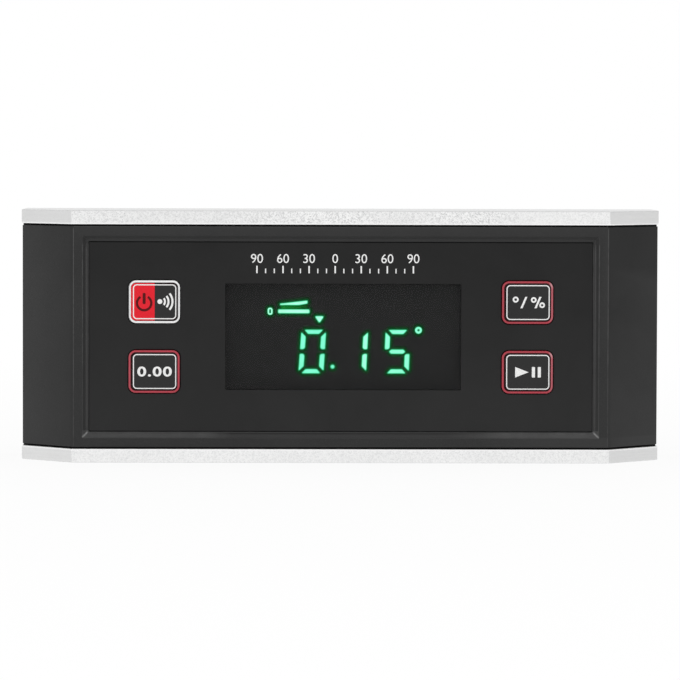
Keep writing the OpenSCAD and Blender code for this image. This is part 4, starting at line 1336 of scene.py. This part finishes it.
def wrap_sign(bm, upper, along, long, round_half):
    """A bar of the terminal's sign, laid on the wrap towards the door."""
    foot, way = bay_place(upper, SPRING_LENGTH)
    rows = []
    for i in range(2 * SIGN_STEPS + 1):
        turn = math.radians(round_half * (i / SIGN_STEPS - 1))
        ends = (way * (along - long / 2), way * (along + long / 2))
        rows.append([bm.verts.new((foot + round_point(x, CELL_R + SIGN_LIFT, turn)) * MM) for x in ends])
    for low, high in zip(rows, rows[1:]):
        for face in strip(bm, low, high, False):
            face.material_index = BAND


def cell_pair():
    bm = bmesh.new()
    for upper in (True, False):
        lathed_cell(bm, upper)
        for sign in WRAP_SIGNS:
            wrap_sign(bm, upper, *sign)
    made = piece_of("cell_pair", bm, [BLUE_WRAP, PALE_WRAP, TINNED], "instrument")
    made.data.shade_smooth()
    made.modifiers.new("shade", "WEIGHTED_NORMAL")
    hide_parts("battery_cells")


def spring_point(step):
    """Point of the coil, from the contact's face, and how far it has turned there."""
    share = step / COIL_STEPS
    end = WIRE_R + COIL_GAP
    turn = 2 * math.pi * COIL_TURNS * share
    r = COIL_R[0] + (COIL_R[1] - COIL_R[0]) * share
    return round_point(end + (SPRING_LENGTH - 2 * end) * share, r, turn), turn


def spring_pair():
    """Smooth tapered coils of round wire with closed ends."""
    bm = bmesh.new()
    for upper in (True, False):
        foot, way = bay_place(upper, 0.0)
        rings = []
        for step in range(COIL_STEPS + 1):
            centre, turn = spring_point(step)
            ahead = (spring_point(step + 0.5)[0] - spring_point(step - 0.5)[0]).normalized()
            out = round_point(0.0, 1.0, turn)
            side = ahead.cross(out)
            ring = []
            for k in range(WIRE_SIDES):
                a = 2 * math.pi * k / WIRE_SIDES
                at = centre + WIRE_R * (math.cos(a) * out + math.sin(a) * side)
                ring.append(bm.verts.new((foot + Vector((way * at.x, way * at.y, at.z))) * MM))
            rings.append(ring)
        for low, high in zip(rings, rings[1:]):
            strip(bm, low, high)
        bm.faces.new(rings[0])
        bm.faces.new(rings[-1])
    made = soften(piece_of("spring_pair", bm, [TINNED], "instrument"), 0.08, 2, 60)
    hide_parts("battery_springs")


cell_pair()
spring_pair()


# Floor, light and camera

WHITE = (1.0, 1.0, 1.0, 1.0)
FLOOR_HALF = 40000.0
OBJECT_MIDDLE = (0.0, 0.0, 30.0)
CAMERA_AT = (-15.05, -1075.35, 78.19)
CAMERA_YAW, CAMERA_PITCH, CAMERA_ROLL = 0.0140, -0.0461, 0.0027
CAMERA_LENS = 236.16


def pale_floor():
    """White floor, plain white away from the object, with its soft shadow near it, and clear from below."""
    bm = bmesh.new()
    bmesh.ops.create_grid(bm, x_segments=8, y_segments=8, size=FLOOR_HALF * MM)
    finish = bpy.data.materials.new("pale_floor")
    empty_tree(finish)
    lit = add("BsdfDiffuse", {"Color": WHITE})
    white = add("Emission", {"Color": WHITE, "Strength": 1.0})
    path = add("LightPath")
    seen = most(*(path[f"Is {kind} Ray"] for kind in ("Camera", "Glossy", "Transmission")))
    share = times(seen, span(length(on_object()), 0.9, 1.0, 0.1, 0.45))
    mixed = add("MixShader", {0: share, 1: lit[0], 2: white[0]})
    under = add("NewGeometry")["Backfacing"]
    clear = add("BsdfTransparent")
    sided = add("MixShader", {0: under, 1: mixed[0], 2: clear[0]})
    add("OutputMaterial", {"Surface": sided[0]})
    floor = shaped("floor", bm, [finish])


def studio_world():
    """White surroundings, plain white to the camera and greyer overhead, left and right.

    Metal and glass show the white more than the light that falls on the object does.
    """
    scene.world = bpy.data.worlds.new("studio")
    empty_tree(scene.world)
    across, _, up = parted(add("TexCoord")["Generated"])
    overhead = span(up, 1.0, 0.5, 0.25, 0.95)
    right = span(across, 1.0, 0.35, 0.25, 1.0)
    left = span(across, 1.0, 0.6, -0.25, -1.0)
    path = add("LightPath")
    mirrored = most(path["Is Glossy Ray"], path["Is Transmission Ray"])
    level = tint_value(times(mirrored, 0.5), times(overhead, right, left), 1.0)
    level = tint_value(path["Is Camera Ray"], level, 1.0)
    back = add("Background", {"Color": WHITE, "Strength": level})
    add("OutputWorld", {"Surface": back[0]})


def soft_box(name, at, size, watts, mirrored):
    """Soft lamp, aimed at the object; one that isn't mirrored lights matte colours and leaves no glint."""
    lamp = bpy.data.lights.new(name, "AREA")
    lamp.shape = "RECTANGLE"
    lamp.size, lamp.size_y = size
    lamp.energy = watts
    made = placed(name, lamp)
    made.location = at
    aim = Vector(OBJECT_MIDDLE) * MM - Vector(at)
    made.rotation_euler = aim.to_track_quat("-Z", "Y").to_euler()
    made.visible_glossy = mirrored


def photo_camera():
    """Camera of the photograph: long lens, a little above and left of the middle."""
    camera = bpy.data.cameras.new("photo_camera")
    camera.sensor_fit = "HORIZONTAL"
    camera.sensor_width = 36.0
    camera.lens = CAMERA_LENS
    camera.clip_end = 20.0
    scene.camera = placed("photo_camera", camera)
    place = Matrix.Translation(Vector(CAMERA_AT) * MM)
    for angle, axis in ((-CAMERA_YAW, "Z"), (math.pi / 2 + CAMERA_PITCH, "X"), (CAMERA_ROLL, "Z")):
        place = place @ Matrix.Rotation(angle, 4, axis)
    scene.camera.matrix_world = place


pale_floor()
studio_world()
soft_box("top_box", (0.1, -0.1, 1.1), (1.2, 1.0), 3.4, False)
soft_box("left_box", (-1.0, -0.8, 0.5), (0.6, 1.0), 0.8, True)
soft_box("front_box", (-0.2, -1.6, 0.4), (1.6, 1.2), 4.3, False)
photo_camera()
